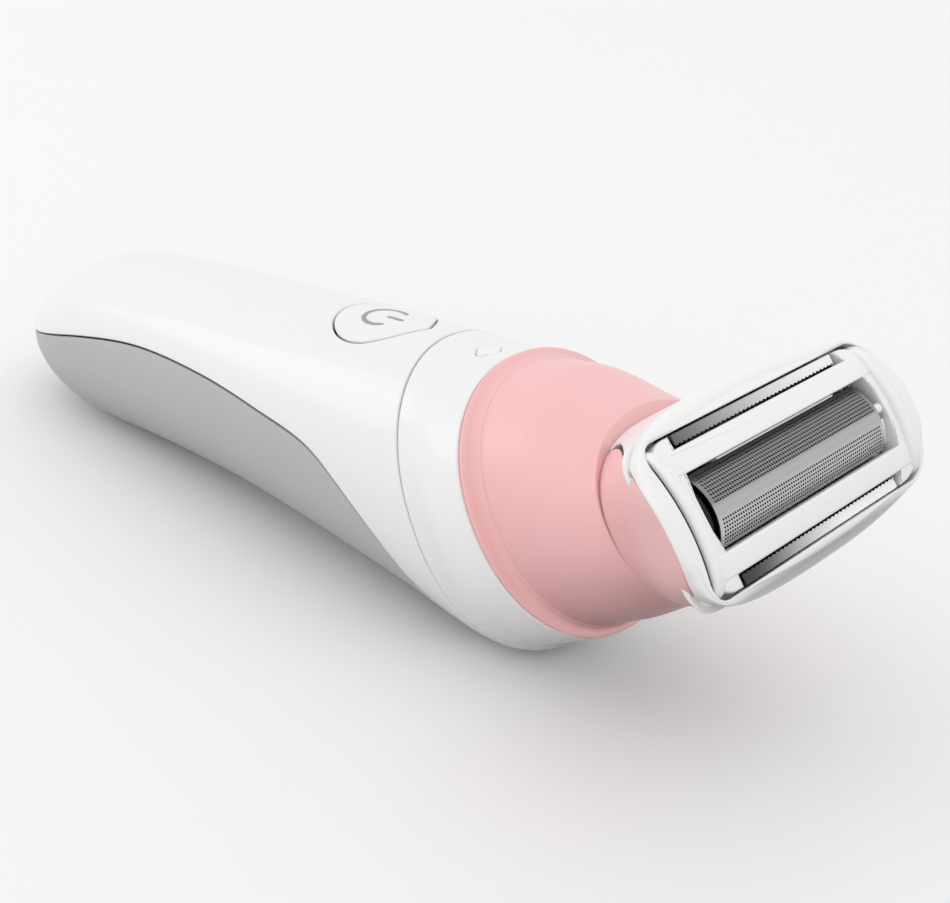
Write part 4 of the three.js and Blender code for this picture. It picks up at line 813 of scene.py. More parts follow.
def head_sizes(z):
    """Half width, half thickness, power and centre of the head's section at a height."""
    rise = np.clip((z + HEAD_DEPTH) / (HEAD_DEPTH - FACE_EDGE), 0, 1)
    swell = rise + HEAD_BULGE * np.sin(np.pi * rise)
    early = np.sin(np.pi / 2 * np.minimum(2.5 * rise, 1))
    half_width = (HEAD_FOOT[0] + (HEAD_FACE[0] - HEAD_FOOT[0]) * swell) / 2
    half_thickness = (HEAD_FOOT[1] + (HEAD_FACE[1] - HEAD_FOOT[1]) * early) / 2
    return half_width, half_thickness, OVAL_POWER + (FACE_POWER - OVAL_POWER) * rise, PLUG_SHIFT * (1 - rise)


def head_point(z, angle, inset=0.0):
    """Point of the head's outside: the section's superellipse, drawn in by an inset."""
    half_width, half_thickness, power, middle = head_sizes(z)
    y = (half_width - inset) * signed_power(np.sin(angle), 2 / power)
    x = middle - (half_thickness - inset) * signed_power(np.cos(angle), 2 / power)
    return np.stack([x, y, z + 0 * x], -1)


def wall_angle(x, z):
    """Angle, on the left side, of the head's outside point at x and z."""
    _, half_thickness, power, middle = head_sizes(z)
    return np.arccos(np.clip(signed_power((middle - x) / half_thickness, power / 2), -1, 1))


def face_height(x):
    """Height of the bowed face above x."""
    return -FACE_BOW * x**2


print("head", HEAD_FACE, "mm at the face,", HEAD_FOOT, "mm at the foot")

# %% [markdown]
# ## The doorway of a release tab
#
# On each end of the head a pink tab fills an arched doorway that stands on the foot. The arch is half a
# superellipse, drawn on the side view. Near the foot the tab also stops at a fixed distance from the
# middle of the head. In every direction from the middle of the foot the doorway ends where the first of
# the two rules stops it, so one curve serves both the tab and the opening in the housing.

# %% Doorway
DOOR_HALF, DOOR_RISE, DOOR_POWER, DOOR_START = 12.0, 19.6, 2.6, 9.0


def doorway(direction):
    """Reach of the doorway from the foot's middle in each direction of the side view (0 is +x, 90
    degrees is up): the longest step that stays inside the arch and outside the inner limit."""
    step = np.linspace(0, 24, 2401)[:, None]
    x, z = step * np.cos(direction), step * np.sin(direction) - HEAD_DEPTH
    arch = (np.abs(x) / DOOR_HALF) ** DOOR_POWER + ((z + HEAD_DEPTH) / DOOR_RISE) ** DOOR_POWER
    y = head_point(z, wall_angle(x, z))[..., 1]
    inside = (arch < 1) & (y > DOOR_START)
    return step[:, 0][np.maximum(np.argmin(inside, 0) - 1, 1)]


def smooth_loop(values, rounds):
    """Open curve with each inner value moved towards its neighbours' mean, a few times over."""
    for _ in range(rounds):
        values[1:-1] = (values[:-2] + 2 * values[1:-1] + values[2:]) / 4
    return values


DOOR_COLUMNS = 97
door_direction = np.linspace(0.0, np.pi, DOOR_COLUMNS)
door_reach = smooth_loop(doorway(door_direction), 3)
print("doorway", round(door_reach.max(), 1), "mm high")

# %% [markdown]
# ## Release tabs
#
# The tab is the head's own skin inside the doorway. Rings of points shrink from the doorway's edge to
# the middle of the foot; each keeps its side-view place and takes its depth from the head's surface, so
# tab and housing share one smooth shape with only a seam between them.

# %% Tab surface
SEAM = 0.25


def head_inward(z, angle):
    """Unit direction into the head at a surface point, from the surface's two slopes."""
    run = head_point(z + 0.05, angle) - head_point(z - 0.05, angle)
    turn = head_point(z, angle + 0.02) - head_point(z, angle - 0.02)
    normal = np.cross(turn, run)
    normal /= np.linalg.norm(normal, axis=-1, keepdims=True)
    point = head_point(z, angle)
    outward = point * [1, 1, 0]
    return np.where(np.sum(normal * outward, -1, keepdims=True) > 0, -normal, normal)


def tab_reach():
    """Reach of the tab in each direction: back from the doorway's edge until the surface point is a seam
    away. Low on the head's sides the seam widens the way that the tab swings, sin(2 degrees) times the depth."""
    back = np.linspace(0, 1.5, 301)[:, None]
    radius = door_reach - back
    x, z = radius * np.cos(door_direction), radius * np.sin(door_direction) - HEAD_DEPTH
    points = head_point(z, wall_angle(x, z))
    away = np.linalg.norm(points - points[0], axis=-1)
    swing = math.sin(math.radians(2)) * np.maximum(-z[0] - TAB_HINGE_DEPTH, 0) * np.abs(x[0]) / DOOR_HALF
    return smooth_loop(door_reach - back[np.argmax(away > SEAM + swing, 0), 0], 3)


def tab_surface(side):
    """Closed tab: the reach of the tab times a share, in every direction, sunk at its edge."""
    reach = tab_reach()
    steps = np.concatenate([[0.0], np.linspace(0.03, 1, 46)])
    radius = (reach - 3 * LIP) * steps[:, None]
    radius = np.concatenate([radius, reach - lip_reach[::-1, None]])
    sink = np.concatenate([np.zeros(len(steps)), lip_sink[::-1]])
    x = radius * np.cos(door_direction)
    z = radius * np.sin(door_direction) - HEAD_DEPTH
    angle = wall_angle(x, z)
    outside = head_point(z, angle)
    inward = head_inward(z, angle)
    edge = np.clip((z + 4.9) / 4.4, 0, 1)
    wall = 1.35 - 0.6 * edge
    outer = outside + sink[:, None, None] * inward
    inner = outside + wall[..., None] * inward
    mirror = [1, side, 1]
    points, faces = walled((outer * mirror).reshape(-1, 3), (inner * mirror).reshape(-1, 3), grid_faces(*x.shape))
    return points, faces


for word, side in (("left", 1), ("right", -1)):
    points, faces = tab_surface(side)
    make_piece(f"release_tab_{word}_skin", from_head(points), faces, f"tab_{word}", PINK,
               [f"release_tab_{word}"])

# %% [markdown]
# ## The white housing
#
# The housing is one closed loop of points per column: up the outside from the foot, or from the
# doorway's edge where there is one, over the rounded edge, across the bowed face to the recess, down
# the recess's wall and back inside. All the way round the head the columns keep their order, so the
# whole moulding is a single ring of quads with no poles.

# %% Housing columns
RECESS_HALF_WIDTH, RECESS_HALF_THICKNESS, RECESS_CORNER = 24.4, 10.2, 3.0
RECESS_FLOOR, RECESS_BACK = -4.9, 0.8
SOFT_EDGE = 1.9  # the moulding's edge is rolled over more softly than the plain body's


def rounded_rectangle(direction, half_x, half_y, corner):
    """Reach of a rectangle with rounded corners in each direction from its middle."""
    step = np.linspace(0, 1, 4001)[:, None] * math.hypot(half_x, half_y)
    x, y = np.abs(step * np.cos(direction)), np.abs(step * np.sin(direction))
    over_x, over_y = np.maximum(x - half_x + corner, 0), np.maximum(y - half_y + corner, 0)
    inside = np.hypot(over_x, over_y) <= corner
    return step[:, 0][len(step) - 1 - np.argmax(inside[::-1], 0)]


def length_along(points):
    """Distance along a path from its first point to each of its points."""
    return np.concatenate([[0], np.cumsum(np.linalg.norm(np.diff(points, axis=0), axis=-1))])


# Doorway columns reach the face's edge as far round from the end's middle as they start.
door_x, door_z = door_reach * np.cos(door_direction), door_reach * np.sin(door_direction) - HEAD_DEPTH
door_angle = wall_angle(door_x, door_z)
door_length = length_along(head_point(door_z, door_angle))
rim_turn = np.linspace(np.pi, 0, 2001)
rim_length = length_along(head_point(np.full_like(rim_turn, -FACE_EDGE), rim_turn))
from_middle = (door_length - door_length[DOOR_COLUMNS // 2]) * 0.88
door_top_angle = np.interp(from_middle + rim_length[1000], rim_length, rim_turn)
SIDE_COLUMNS = 32


def between(start, end, count):
    """Evenly spaced values between two, without the two."""
    return np.linspace(start, end, count + 2)[1:-1]


def round_the_end(door_values, middle_front, middle_back):
    """Values for one half of the head: the front's middle, its side, the doorway, the other side, the back's middle."""
    return np.concatenate([[middle_front], between(middle_front, door_values[0], SIDE_COLUMNS), door_values,
                           between(door_values[-1], middle_back, SIDE_COLUMNS), [middle_back]])


half_foot = round_the_end(door_angle, np.pi, 0.0)
half_top = round_the_end(door_top_angle, np.pi, 0.0)
half_z = round_the_end(door_z, -HEAD_DEPTH, -HEAD_DEPTH)
foot_angle = np.concatenate([half_foot, -half_foot[-2:0:-1]])
top_angle = np.concatenate([half_top, -half_top[-2:0:-1]])
foot_z = np.concatenate([half_z, half_z[-2:0:-1]])
top_z = np.full_like(top_angle, -1.0)
for _ in range(8):
    top_z = face_height(head_point(top_z, top_angle)[:, 0])
rim = head_point(top_z, top_angle)
mouth_reach = rounded_rectangle(np.arctan2(rim[:, 1], rim[:, 0]), RECESS_HALF_THICKNESS + 0.25, RECESS_HALF_WIDTH + 0.25,
                                RECESS_CORNER + 0.25)
border = np.hypot(rim[:, 0], rim[:, 1]) - mouth_reach
edge_radius = np.minimum(np.minimum(SOFT_EDGE, 0.6 * border), 0.8 * (top_z - foot_z))
wall_top = top_z - edge_radius


def wall_point(share, inset):
    """Point of the wall at a share of its column, which leans from the foot's angle to the face's by
    1 - (1 - share)^k. The doorway widens above its foot, so low columns lean early: k is 5 there."""
    k = 5 - 4 * np.clip((foot_z + HEAD_DEPTH) / 5, 0, 1)
    lean = 1 - (1 - share) ** k
    return head_point(foot_z + (wall_top - foot_z) * share, foot_angle + (top_angle - foot_angle) * lean, inset)


wall_points = [wall_point(share, 0) for share in np.linspace(0, 1, 12)]
column_length = np.linalg.norm(np.diff(wall_points, axis=0), axis=-1).sum(0)
lip = np.minimum(LIP, 0.3 * column_length)
rows = [wall_point(lip * reach / LIP / column_length, lip * sunk / LIP)
        for reach, sunk in zip(lip_reach, lip_sink)]
lip_share = lip / column_length
rows += [wall_point(lip_share + (1 - lip_share) * share, 0) for share in np.linspace(0, 1, 24)[1:]]
rows += [head_point(wall_top + edge_radius * math.sin(turn), top_angle, edge_radius * (1 - math.cos(turn)))
         for turn in np.linspace(0, np.pi / 2, 8)[1:]]
edge_line = rows[-1]
direction = np.arctan2(edge_line[:, 1], edge_line[:, 0])
print("housing columns:", len(foot_z), "of", round(column_length.min(), 2), "to", round(column_length.max(), 1), "mm")

# %% Housing face, recess and inside
def recess_line(grow, z=None):
    """Recess outline seen from the front, grown outwards by a distance, on the face or at a height."""
    reach = rounded_rectangle(direction, RECESS_HALF_THICKNESS + grow, RECESS_HALF_WIDTH + grow, RECESS_CORNER + grow)
    x, y = reach * np.cos(direction), reach * np.sin(direction)
    return np.stack([x, y, face_height(x) if z is None else z + 0 * x], 1)


mouth = recess_line(0.25)
for share in np.linspace(0, 1, 8)[1:]:
    row = edge_line * (1 - share) + mouth * share
    row[:, 2] = face_height(row[:, 0])
    rows.append(row)
for turn in np.linspace(0, np.pi / 2, 5)[1:]:
    rows.append(recess_line(0.25 * (1 - math.sin(turn))) - [0, 0, 0.25 * (1 - math.cos(turn))])
rows += [recess_line(0.0, RECESS_FLOOR), recess_line(RECESS_BACK, RECESS_FLOOR)]
behind = recess_line(RECESS_BACK, 0.0)
behind[:, 2] = np.minimum(np.maximum(foot_z - 0.2, -4.4), top_z - 1.2)
rows.append(behind)
inner_top = np.maximum(foot_z + 0.1, -4.4)
for share in (1.0, 0.66, 0.33, 0.0):
    rows.append(head_point(foot_z + (inner_top - foot_z) * share, foot_angle + (top_angle - foot_angle) * 0.8 * share,
                           HEAD_WALL))
loop = np.stack(rows)
faces = grid_faces(len(loop), len(foot_z), wrap_rows=True, wrap_columns=True)


def housing_shade(place, turned):
    """Painted shade on the housing. The long border on the underside takes painted shade already from 10.3 mm
    out, smoothly over 1.4 mm, and so does the wall's thickness, which shows in the tabs' seams: there the
    sum of the section's two powers falls from 0.98 to 0.93."""
    x, y, z = ((place - crest) @ np.stack([head_under, across, head_out]).T / MM).T
    border_painted_shade = np.clip((x - 10.3) / 1.4, 0, 1)
    half_width, half_thickness, power, middle = head_sizes(z)
    within = (np.abs(x - middle) / half_thickness) ** power + (np.abs(y) / half_width) ** power
    seam_painted_shade = np.clip((0.98 - within) / 0.05, 0, 1) * (z < -6.5)
    return np.maximum(np.maximum(turned, seam_painted_shade), 0.8 * border_painted_shade**2 * (3 - 2 * border_painted_shade))


make_piece("head_housing_skin", from_head(loop.reshape(-1, 3)), faces, "shaving_head", HEAD_WHITE,
           ["head_housing"], sharp=50, shade=housing_shade)

# %% [markdown]
# ## The inner frame
#
# A white frame drops into the recess and holds the foil and trimmers: two bars run the length of the
# window, a block closes each end, and a raised, rounded rim stands on each block like a small handle.
# Every one of these is the same kind of solid: an outline seen from the front, carried up from below,
# rolled over at the top and closed over a crowned or bowed lid.

# %% Lidded blocks
def lidded_block(outline, low, top, radius, steps=6, lid_rings=12):
    """Closed solid over an outline in x and y. top gives the lid's height from x and y; the outline is
    drawn in by a quarter circle of the given radius as it reaches the lid, and then shrinks to its middle."""
    middle = outline.mean(0)
    ahead, behind = np.roll(outline, -1, 0), np.roll(outline, 1, 0)
    along_edge = ahead - behind
    inward = np.stack([-along_edge[:, 1], along_edge[:, 0]], 1)
    inward /= np.linalg.norm(inward, axis=1, keepdims=True)
    inward *= np.sign(np.sum(inward * (middle - outline), 1).sum())
    rows = [np.column_stack([outline * 0 + middle, np.full(len(outline), low)]),
            np.column_stack([outline, np.full(len(outline), low)])]
    for turn in np.linspace(0, np.pi / 2, steps):
        line = outline + inward * radius * (1 - math.cos(turn))
        rows.append(np.column_stack([line, top(*line.T) - radius * (1 - math.sin(turn))]))
    last = rows[-1][:, :2]
    for share in np.linspace(1, 0, lid_rings)[1:]:
        line = middle + (last - middle) * share
        rows.append(np.column_stack([line, top(*line.T)]))
    loft = np.stack(rows)
    return loft.reshape(-1, 3), grid_faces(len(rows), len(outline), wrap_columns=True)


def rounded_outline(x_low, x_high, y_low, y_high, corner, spacing=0.35):
    """Rectangle with rounded corners, run round anticlockwise with evenly spaced points."""
    turn = np.linspace(0, np.pi / 2, 9)
    centres = [(x_high - corner, y_low + corner), (x_high - corner, y_high - corner),
               (x_low + corner, y_high - corner), (x_low + corner, y_low + corner)]
    arcs = [np.array(c) + corner * np.stack([np.cos(turn + a), np.sin(turn + a)], 1)
            for c, a in zip(centres, np.radians([-90, 0, 90, 180]))]
    path = np.concatenate(arcs + [arcs[0][:1]])
    length = np.concatenate([[0], np.cumsum(np.hypot(*np.diff(path, axis=0).T))])
    even = np.linspace(0, length[-1], int(length[-1] / spacing) + 1)[:-1]
    return np.stack([np.interp(even, length, path[:, k]) for k in (0, 1)], 1)


def faced_out(points, faces):
    """The same closed part with its faces turned outwards: the sum of its corner volumes is positive."""
    corner = points[faces]
    volume = sum(np.einsum("ij,ij->i", corner[:, 0], np.cross(corner[:, k], corner[:, k + 1])).sum() for k in (1, 2))
    return points, faces if volume > 0 else faces[:, ::-1]


print("a lidded block needs an outline, a low face, a lid and an edge radius")

# %% Bars, end blocks and rims
FRAME_HALF_WIDTH, FRAME_HALF_THICKNESS, FRAME_THICKNESS = 23.95, 9.9, 3.4
BAR_INNER, BAR_OUTER, BAR_CROWN = 5.1, 8.2, 0.06
WINDOW_END, SLOT_END = 20.8, 18.4
RIM_WIDTH, RIM_HEIGHT = 2.0, 0.7
CORNER_CUT = 4.4


def bar_top(x, y):
    """The bow of the face with a slight crown across each bar."""
    across_bar = (np.abs(x) - (BAR_INNER + BAR_OUTER) / 2) / (BAR_OUTER - BAR_INNER)
    return face_height(x) + BAR_CROWN * (1 - 4 * across_bar**2) - BAR_CROWN


def end_outline(side):
    """End block: a straight outer side with generous corners, and an inner side bowed round the window."""
    outer = rounded_outline(-FRAME_HALF_THICKNESS, FRAME_HALF_THICKNESS, 10, FRAME_HALF_WIDTH, CORNER_CUT, 0.3)
    outer = outer[outer[:, 1] > SLOT_END + 0.2]
    start = np.argmin(np.where(outer[:, 0] > 0, outer[:, 1], 99))
    outer = np.roll(outer, -start, 0)
    x = np.linspace(-FRAME_HALF_THICKNESS, FRAME_HALF_THICKNESS, 70)
    inner = np.stack([x, WINDOW_END - (WINDOW_END - SLOT_END) * (x / FRAME_HALF_THICKNESS) ** 2], 1)
    return np.concatenate([outer, inner]) * [1, side]


def rim_top(x, y):
    """Rim's crest: the bow raised by the rim's height, dropping quickly at its two ends."""
    return face_height(x) + RIM_HEIGHT - 1.3 * np.abs(x / (FRAME_HALF_THICKNESS - 0.2)) ** 10


parts, gap_shadow_strips = [], []
for side in (1, -1):
    bar = rounded_outline(BAR_INNER, BAR_OUTER, -22.5, 22.5, 0.3)
    parts.append(lidded_block(bar * [side, 1], -FRAME_THICKNESS, bar_top, 0.3))
    parts.append(lidded_block(end_outline(side), -FRAME_THICKNESS, lambda x, y: face_height(x) - 0.16, 0.3))
    rim_edges = sorted([side * (FRAME_HALF_WIDTH - 0.02), side * (FRAME_HALF_WIDTH - RIM_WIDTH)])
    rim = rounded_outline(-FRAME_HALF_THICKNESS + 0.25, FRAME_HALF_THICKNESS - 0.1, *rim_edges, 0.98, 0.2)
    parts.append(lidded_block(rim, -FRAME_THICKNESS + 0.2, rim_top, 0.75, steps=9))
# Dark strips in the gaps between the frame and the housing at both ends: painted shadow, a dark piece set where the
# gap's shade falls.
for side in (1, -1):
    gap_shadow_strip = rounded_outline(-8.6, 8.6, FRAME_HALF_WIDTH + 0.03, RECESS_HALF_WIDTH - 0.03, 0.1)
    gap_shadow_strips.append(faced_out(*lidded_block(gap_shadow_strip * [1, side], -2.3, lambda x, y: face_height(x) - 0.28, 0.05)))
points, faces = join_parts([faced_out(*part) for part in parts])
make_piece("head_frame_skin", from_head(points), faces, "shaving_head", HEAD_WHITE, ["head_frame"])
points, faces = join_parts(gap_shadow_strips)
make_piece("head_frame_gap_shadow_strips", from_head(points), faces, "shaving_head", DARK)

# %% [markdown]
# ## The foil
#
# A shaver's foil is steel sheet a tenth of a millimetre thick, bent into an arch and etched with rows of
# slanting slots. The slots are real holes here: the sheet is a grid of half cells, and in the two etched
# bands every two-by-two block of quads gives way to a ring of eight quads round an oval slot. That is 24
# quads a hole with the wall, which keeps many hundreds of holes light.

# %% Perforated foil
FOIL_RADIUS, FOIL_DROP, FOIL_SHEET, FOIL_HALF_WIDTH = 6.5, 0.3, 0.12, 18.9
HOLE_PITCH, SLOT_LONG, SLOT_SHORT, SLOT_TURN = 0.5, 0.225, 0.14, math.radians(38)
foil_middle = -FOIL_DROP - FOIL_RADIUS


def foil_point(s, y, depth=0.0):
    """Arch of the foil: s runs round it from its crest, y along it, and depth goes towards its centre."""
    turn = s / FOIL_RADIUS
    radius = FOIL_RADIUS - depth
    return np.stack([radius * np.sin(turn), y, foil_middle + radius * np.cos(turn)], -1)


# %% The foil's grid lines
def band_lines(start, end, holes=0):
    """Grid lines of a band: two for every hole, or one a half pitch where the band is plain."""
    count = 2 * holes if holes else max(int((end - start) / 0.5), 1)
    return np.linspace(start, end, count + 1)[:-1]


CREST_STRIP = (-0.35, 1.45)  # plain strip from just before the crest to a little past it
holes_up, holes_down = 9, 7
bands = [(-5.35, CREST_STRIP[0] - holes_up * HOLE_PITCH, 0),
         (CREST_STRIP[0] - holes_up * HOLE_PITCH, CREST_STRIP[0], holes_up), (*CREST_STRIP, 0),
         (CREST_STRIP[1], CREST_STRIP[1] + holes_down * HOLE_PITCH, holes_down),
         (CREST_STRIP[1] + holes_down * HOLE_PITCH, 5.35, 0)]
lines_s = np.concatenate([band_lines(*band) for band in bands] + [[5.35]])
cells_along = int(2 * (FOIL_HALF_WIDTH - 0.6) / HOLE_PITCH)
cell_half = cells_along * HOLE_PITCH / 2
lines_y = np.concatenate([[-FOIL_HALF_WIDTH], np.linspace(-cell_half, cell_half, 2 * cells_along + 1),
                          [FOIL_HALF_WIDTH]])
s_grid, y_grid = np.meshgrid(lines_s, lines_y, indexing="ij")
print("foil grid:", len(lines_s), "by", len(lines_y), "lines")

# %% Half cells that give way to a slot
faces = grid_faces(*s_grid.shape)
columns = len(lines_y)
row_of, column_of = faces[:, 0] // columns, faces[:, 0] % columns
starts = np.cumsum([0] + [len(band_lines(*band)) for band in bands])
etched = np.zeros(len(faces), bool)
corners = []
for (low, high, holes), first in zip(bands, starts):
    if holes:
        in_band = (row_of >= first) & (row_of < first + 2 * holes)
        etched |= in_band & (column_of >= 1) & (column_of < columns - 2)
        cell_rows, cell_columns = np.meshgrid(first + 2 * np.arange(holes),
                                              1 + 2 * np.arange(cells_along), indexing="ij")
        corners.append((cell_rows * columns + cell_columns).ravel())
corner = np.concatenate(corners)[:, None]
print("etched quads:", int(etched.sum()))

# %% Slots
ring = corner + np.array([0, 1, 2, columns + 2, 2 * columns + 2, 2 * columns + 1, 2 * columns, columns])
centre_s, centre_y = s_grid.ravel()[corner + columns + 1], y_grid.ravel()[corner + columns + 1]
away = np.arctan2(s_grid.ravel()[ring] - centre_s, y_grid.ravel()[ring] - centre_y)
slot_reach = SLOT_LONG * SLOT_SHORT / np.hypot(SLOT_SHORT * np.cos(away - SLOT_TURN),
                                               SLOT_LONG * np.sin(away - SLOT_TURN))
slot_s, slot_y = centre_s + slot_reach * np.sin(away), centre_y + slot_reach * np.cos(away)
slot_index = s_grid.size + np.arange(slot_s.size).reshape(slot_s.shape)
ring_faces = np.stack([ring, np.roll(ring, -1, 1), np.roll(slot_index, -1, 1), slot_index], -1).reshape(-1, 4)
all_s = np.concatenate([s_grid.ravel(), slot_s.ravel()])
all_y = np.concatenate([y_grid.ravel(), slot_y.ravel()])
outer, inner = foil_point(all_s, all_y), foil_point(all_s, all_y, FOIL_SHEET)
points, faces = walled(outer, inner, np.concatenate([faces[~etched], ring_faces]))


# %% The foil's painted shade and highlight, and its piece
def foil_shade(place, turned):
    """Painted shade and highlight round the arch, for its reflections: dark above the crest, a bright painted
    line on it, and pale on the side that faces down.
    """
    s = FOIL_RADIUS * np.arcsin(np.clip((place - crest) @ head_under / MM / FOIL_RADIUS, -1, 1))
    step = 0.5 + 0.5 * np.tanh((s + 0.35) / 0.12)
    strip = 0.3 * np.exp(-((s - 0.75) / 0.7) ** 4)
    return 1.0 - 0.92 * step + strip * step


make_piece("shaving_foil_sheet", from_head(points), faces, "foil_unit", FOIL, ["shaving_foil"],
           shade=foil_shade)
print("foil holes:", len(corner))

# %% [markdown]
# ## Under the foil
#
# The cutter is a row of thin arched blades that slides to and fro beneath the foil. Each blade is an arc
# with a short leg at both ends, and the row is one array: the same outline at every pitch. The foil's
# carrier frame holds it all and shows at the ends of the window as dark cheeks with a white peg. The dark
# cheeks are painted shadow for the arch's open ends.

# %% Cutter blades
BLADE_PITCH, BLADE_SHEET, BLADE_RADIUS, CUTTER_REACH = 0.9, 0.3, 5.75, 17.1
turn = np.linspace(-0.98, 0.98, 19)
arc = np.stack([BLADE_RADIUS * np.sin(turn), foil_middle + BLADE_RADIUS * np.cos(turn)], 1)
base = np.stack([np.linspace(arc[-1, 0], arc[0, 0], 19), np.full(19, -6.0)], 1)[:, :]
side_view = np.stack([arc, base[::-1]])
blade_y = np.arange(-CUTTER_REACH, CUTTER_REACH, BLADE_PITCH)
parts = []
for y in blade_y:
    near = np.stack([side_view[..., 0], np.full(side_view.shape[:2], y), side_view[..., 1]], -1)
    parts.append(walled(near.reshape(-1, 3), near.reshape(-1, 3) + [0, BLADE_SHEET, 0], grid_faces(2, 19)))
core = rounded_outline(-4.4, 4.4, -CUTTER_REACH, CUTTER_REACH, 0.4, 0.8)
parts.append(lidded_block(core, -6.0, lambda x, y: -5.2 + 0 * x, 0.2))
points, faces = join_parts([faced_out(*part) for part in parts])
make_piece("cutter_blade_row", from_head(points), faces, "cutter", DARK_STEEL, ["cutter_blades"])

# %% [markdown]
# ## The foil's carrier
#
# The foil floats a little, so it sits in its own white ring frame. At each end a dark cheek closes the
# arch from inside: painted shadow for the open end, where the inside would show dark. A white block stands
# beside it, and a white peg locks the far end. A thin pale strip clamps the foil's upper edge; it is the
# fine line that shows between the upper bar and the foil.

# %% Carrier ring, strip and peg
CARRIER_HALF_WIDTH, CARRIER_HALF_THICKNESS, CARRIER_LOW, CARRIER_TOP = 20.6, 6.65, -8.5, -3.75
ring_out = rounded_outline(-CARRIER_HALF_THICKNESS, CARRIER_HALF_THICKNESS, -CARRIER_HALF_WIDTH, CARRIER_HALF_WIDTH, 3)
ring_in = ring_out * [5.65 / CARRIER_HALF_THICKNESS, 19.5 / CARRIER_HALF_WIDTH]
loops = [(ring_out, CARRIER_LOW), (ring_out, CARRIER_TOP - 0.2), (ring_out * 0.985, CARRIER_TOP),
         (ring_in * 1.01, CARRIER_TOP), (ring_in, CARRIER_TOP - 0.1), (ring_in, CARRIER_LOW)]
loft = np.concatenate([np.column_stack([line, np.full(len(line), z)]) for line, z in loops])
ring = faced_out(loft, grid_faces(len(loops), len(ring_out), wrap_rows=True, wrap_columns=True))
strip = lidded_block(rounded_outline(-5.05, -4.79, -13.3, 13.3, 0.1), -3.9, lambda x, y: -1.3 + 0 * x, 0.08)
points, faces = join_parts([ring, faced_out(*strip)])
make_piece("foil_carrier_ring", from_head(points), faces, "foil_unit", HEAD_WHITE, ["foil_frame"])

# Dark cheeks closing both ends of the arch: painted shadow for the open ends.
parts = []
for end in (1, -1):
    turn = np.linspace(-1.05, 1.05, 31)
    arch = np.stack([5.75 * np.sin(turn), foil_middle + 5.75 * np.cos(turn)], 1)
    side_view = np.stack([arch, np.stack([arch[:, 0], np.full(31, CARRIER_TOP)], 1)])
    near = np.stack([side_view[..., 0], np.full((2, 31), end * 19.1), side_view[..., 1]], -1).reshape(-1, 3)
    parts.append(faced_out(*walled(near, near + [0, end * 0.6, 0], grid_faces(2, 31))))
points, faces = join_parts(parts)
make_piece("foil_end_shadow_cheeks", from_head(points), faces, "foil_unit", DARK)

turn = np.linspace(0, 2 * np.pi, 25)[:-1]
rings = [(20.5, 0.0), (20.5, 0.6), (20.4, 0.72), (19.3, 0.72), (19.15, 0.64), (19.06, 0.4), (19.04, 0.0)]
peg = np.concatenate([np.stack([-0.5 + r * np.cos(turn), y + 0 * turn, -1.1 + r * np.sin(turn)], 1) for y, r in rings])
peg = faced_out(peg, grid_faces(len(rings), len(turn), wrap_columns=True))
block = faced_out(*lidded_block(rounded_outline(0.9, 4.3, 19.75, 20.4, 0.3), -3.7, lambda x, y: -0.95 - 0.08 * x**2, 0.15))
points, faces = join_parts([peg, block])
make_piece("foil_end_peg", from_head(points), faces, "foil_unit", HEAD_WHITE)

# %% [markdown]
# ## The trimmers
#
# Beside the foil, on both sides, a toothed blade runs against a fixed comb. The comb is sheet steel: it
# stands up from below, is folded over near the face into a broad polished lip that nearly fills the
# slot, and has fine notches cut in the lip's edge. The blade stands behind it, lower, with its own teeth.

# %% Combs and moving blades
COMB_REACH, TOOTH_PITCH = 17.7, 0.9
slot_height = face_height(9.4)


def folded_sheet(outer_path, inner_path, y, tooth_rows, tooth, axis):
    """Sheet between two paths in x and z, run along y; the last rows are cut back into teeth by a wave
    that is a square with eased corners: tanh(6 sin) of the place over the pitch."""
    wave = 0.5 + 0.5 * np.tanh(6 * np.sin(2 * np.pi * y / TOOTH_PITCH)) / math.tanh(6)
    sheets = []
    for path in (outer_path, inner_path):
        sheet = np.stack(np.broadcast_arrays(path[:, None, 0], y[None, :], path[:, None, 1]), -1).copy()
        sheet[-tooth_rows:, :, axis] += tooth * wave
        sheets.append(sheet.reshape(-1, 3))
    return walled(*sheets, grid_faces(len(outer_path), len(y)))


def painted_reflection_ramp(y_dark, y_bright):
    """Painted shade along the strip, for a painted reflection that brightens towards one end: 1 at the
    dark end, 0 where the reflection is full, smooth between.
    """
    def shade(place, turned):
        share = np.clip((place[:, 1] / MM - y_dark) / (y_bright - y_dark), 0, 1)
        return 1 - share * share * (3 - 2 * share)
    return shade


lip_outer = np.array([(9.95, -5.2), (9.95, slot_height - 0.75), (9.9, slot_height - 0.56), (9.76, slot_height - 0.46),
                      (9.2, slot_height - 0.46), (8.52, slot_height - 0.5)])
lip_inner = np.array([(9.5, -5.2), (9.5, slot_height - 1.0), (9.47, slot_height - 0.8), (9.4, slot_height - 0.72),
                      (9.1, slot_height - 0.66), (8.54, slot_height - 0.66)])
blade_outer = np.array([(9.05, -5.2), (9.05, slot_height - 1.6), (8.9, slot_height - 1.15)])
blade_inner = np.array([(8.55, -5.2), (8.55, slot_height - 1.6), (8.6, slot_height - 1.15)])
along_comb = np.linspace(-COMB_REACH, COMB_REACH, 8 * int(2 * COMB_REACH / TOOTH_PITCH) + 1)
along_blade = np.linspace(-17.1, 17.1, 8 * 38 + 1)
leg = lidded_block(rounded_outline(8.6, 9.0, -4.9, 4.9, 0.15), -9.7, lambda x, y: -5.1 + 0 * x, 0.05)
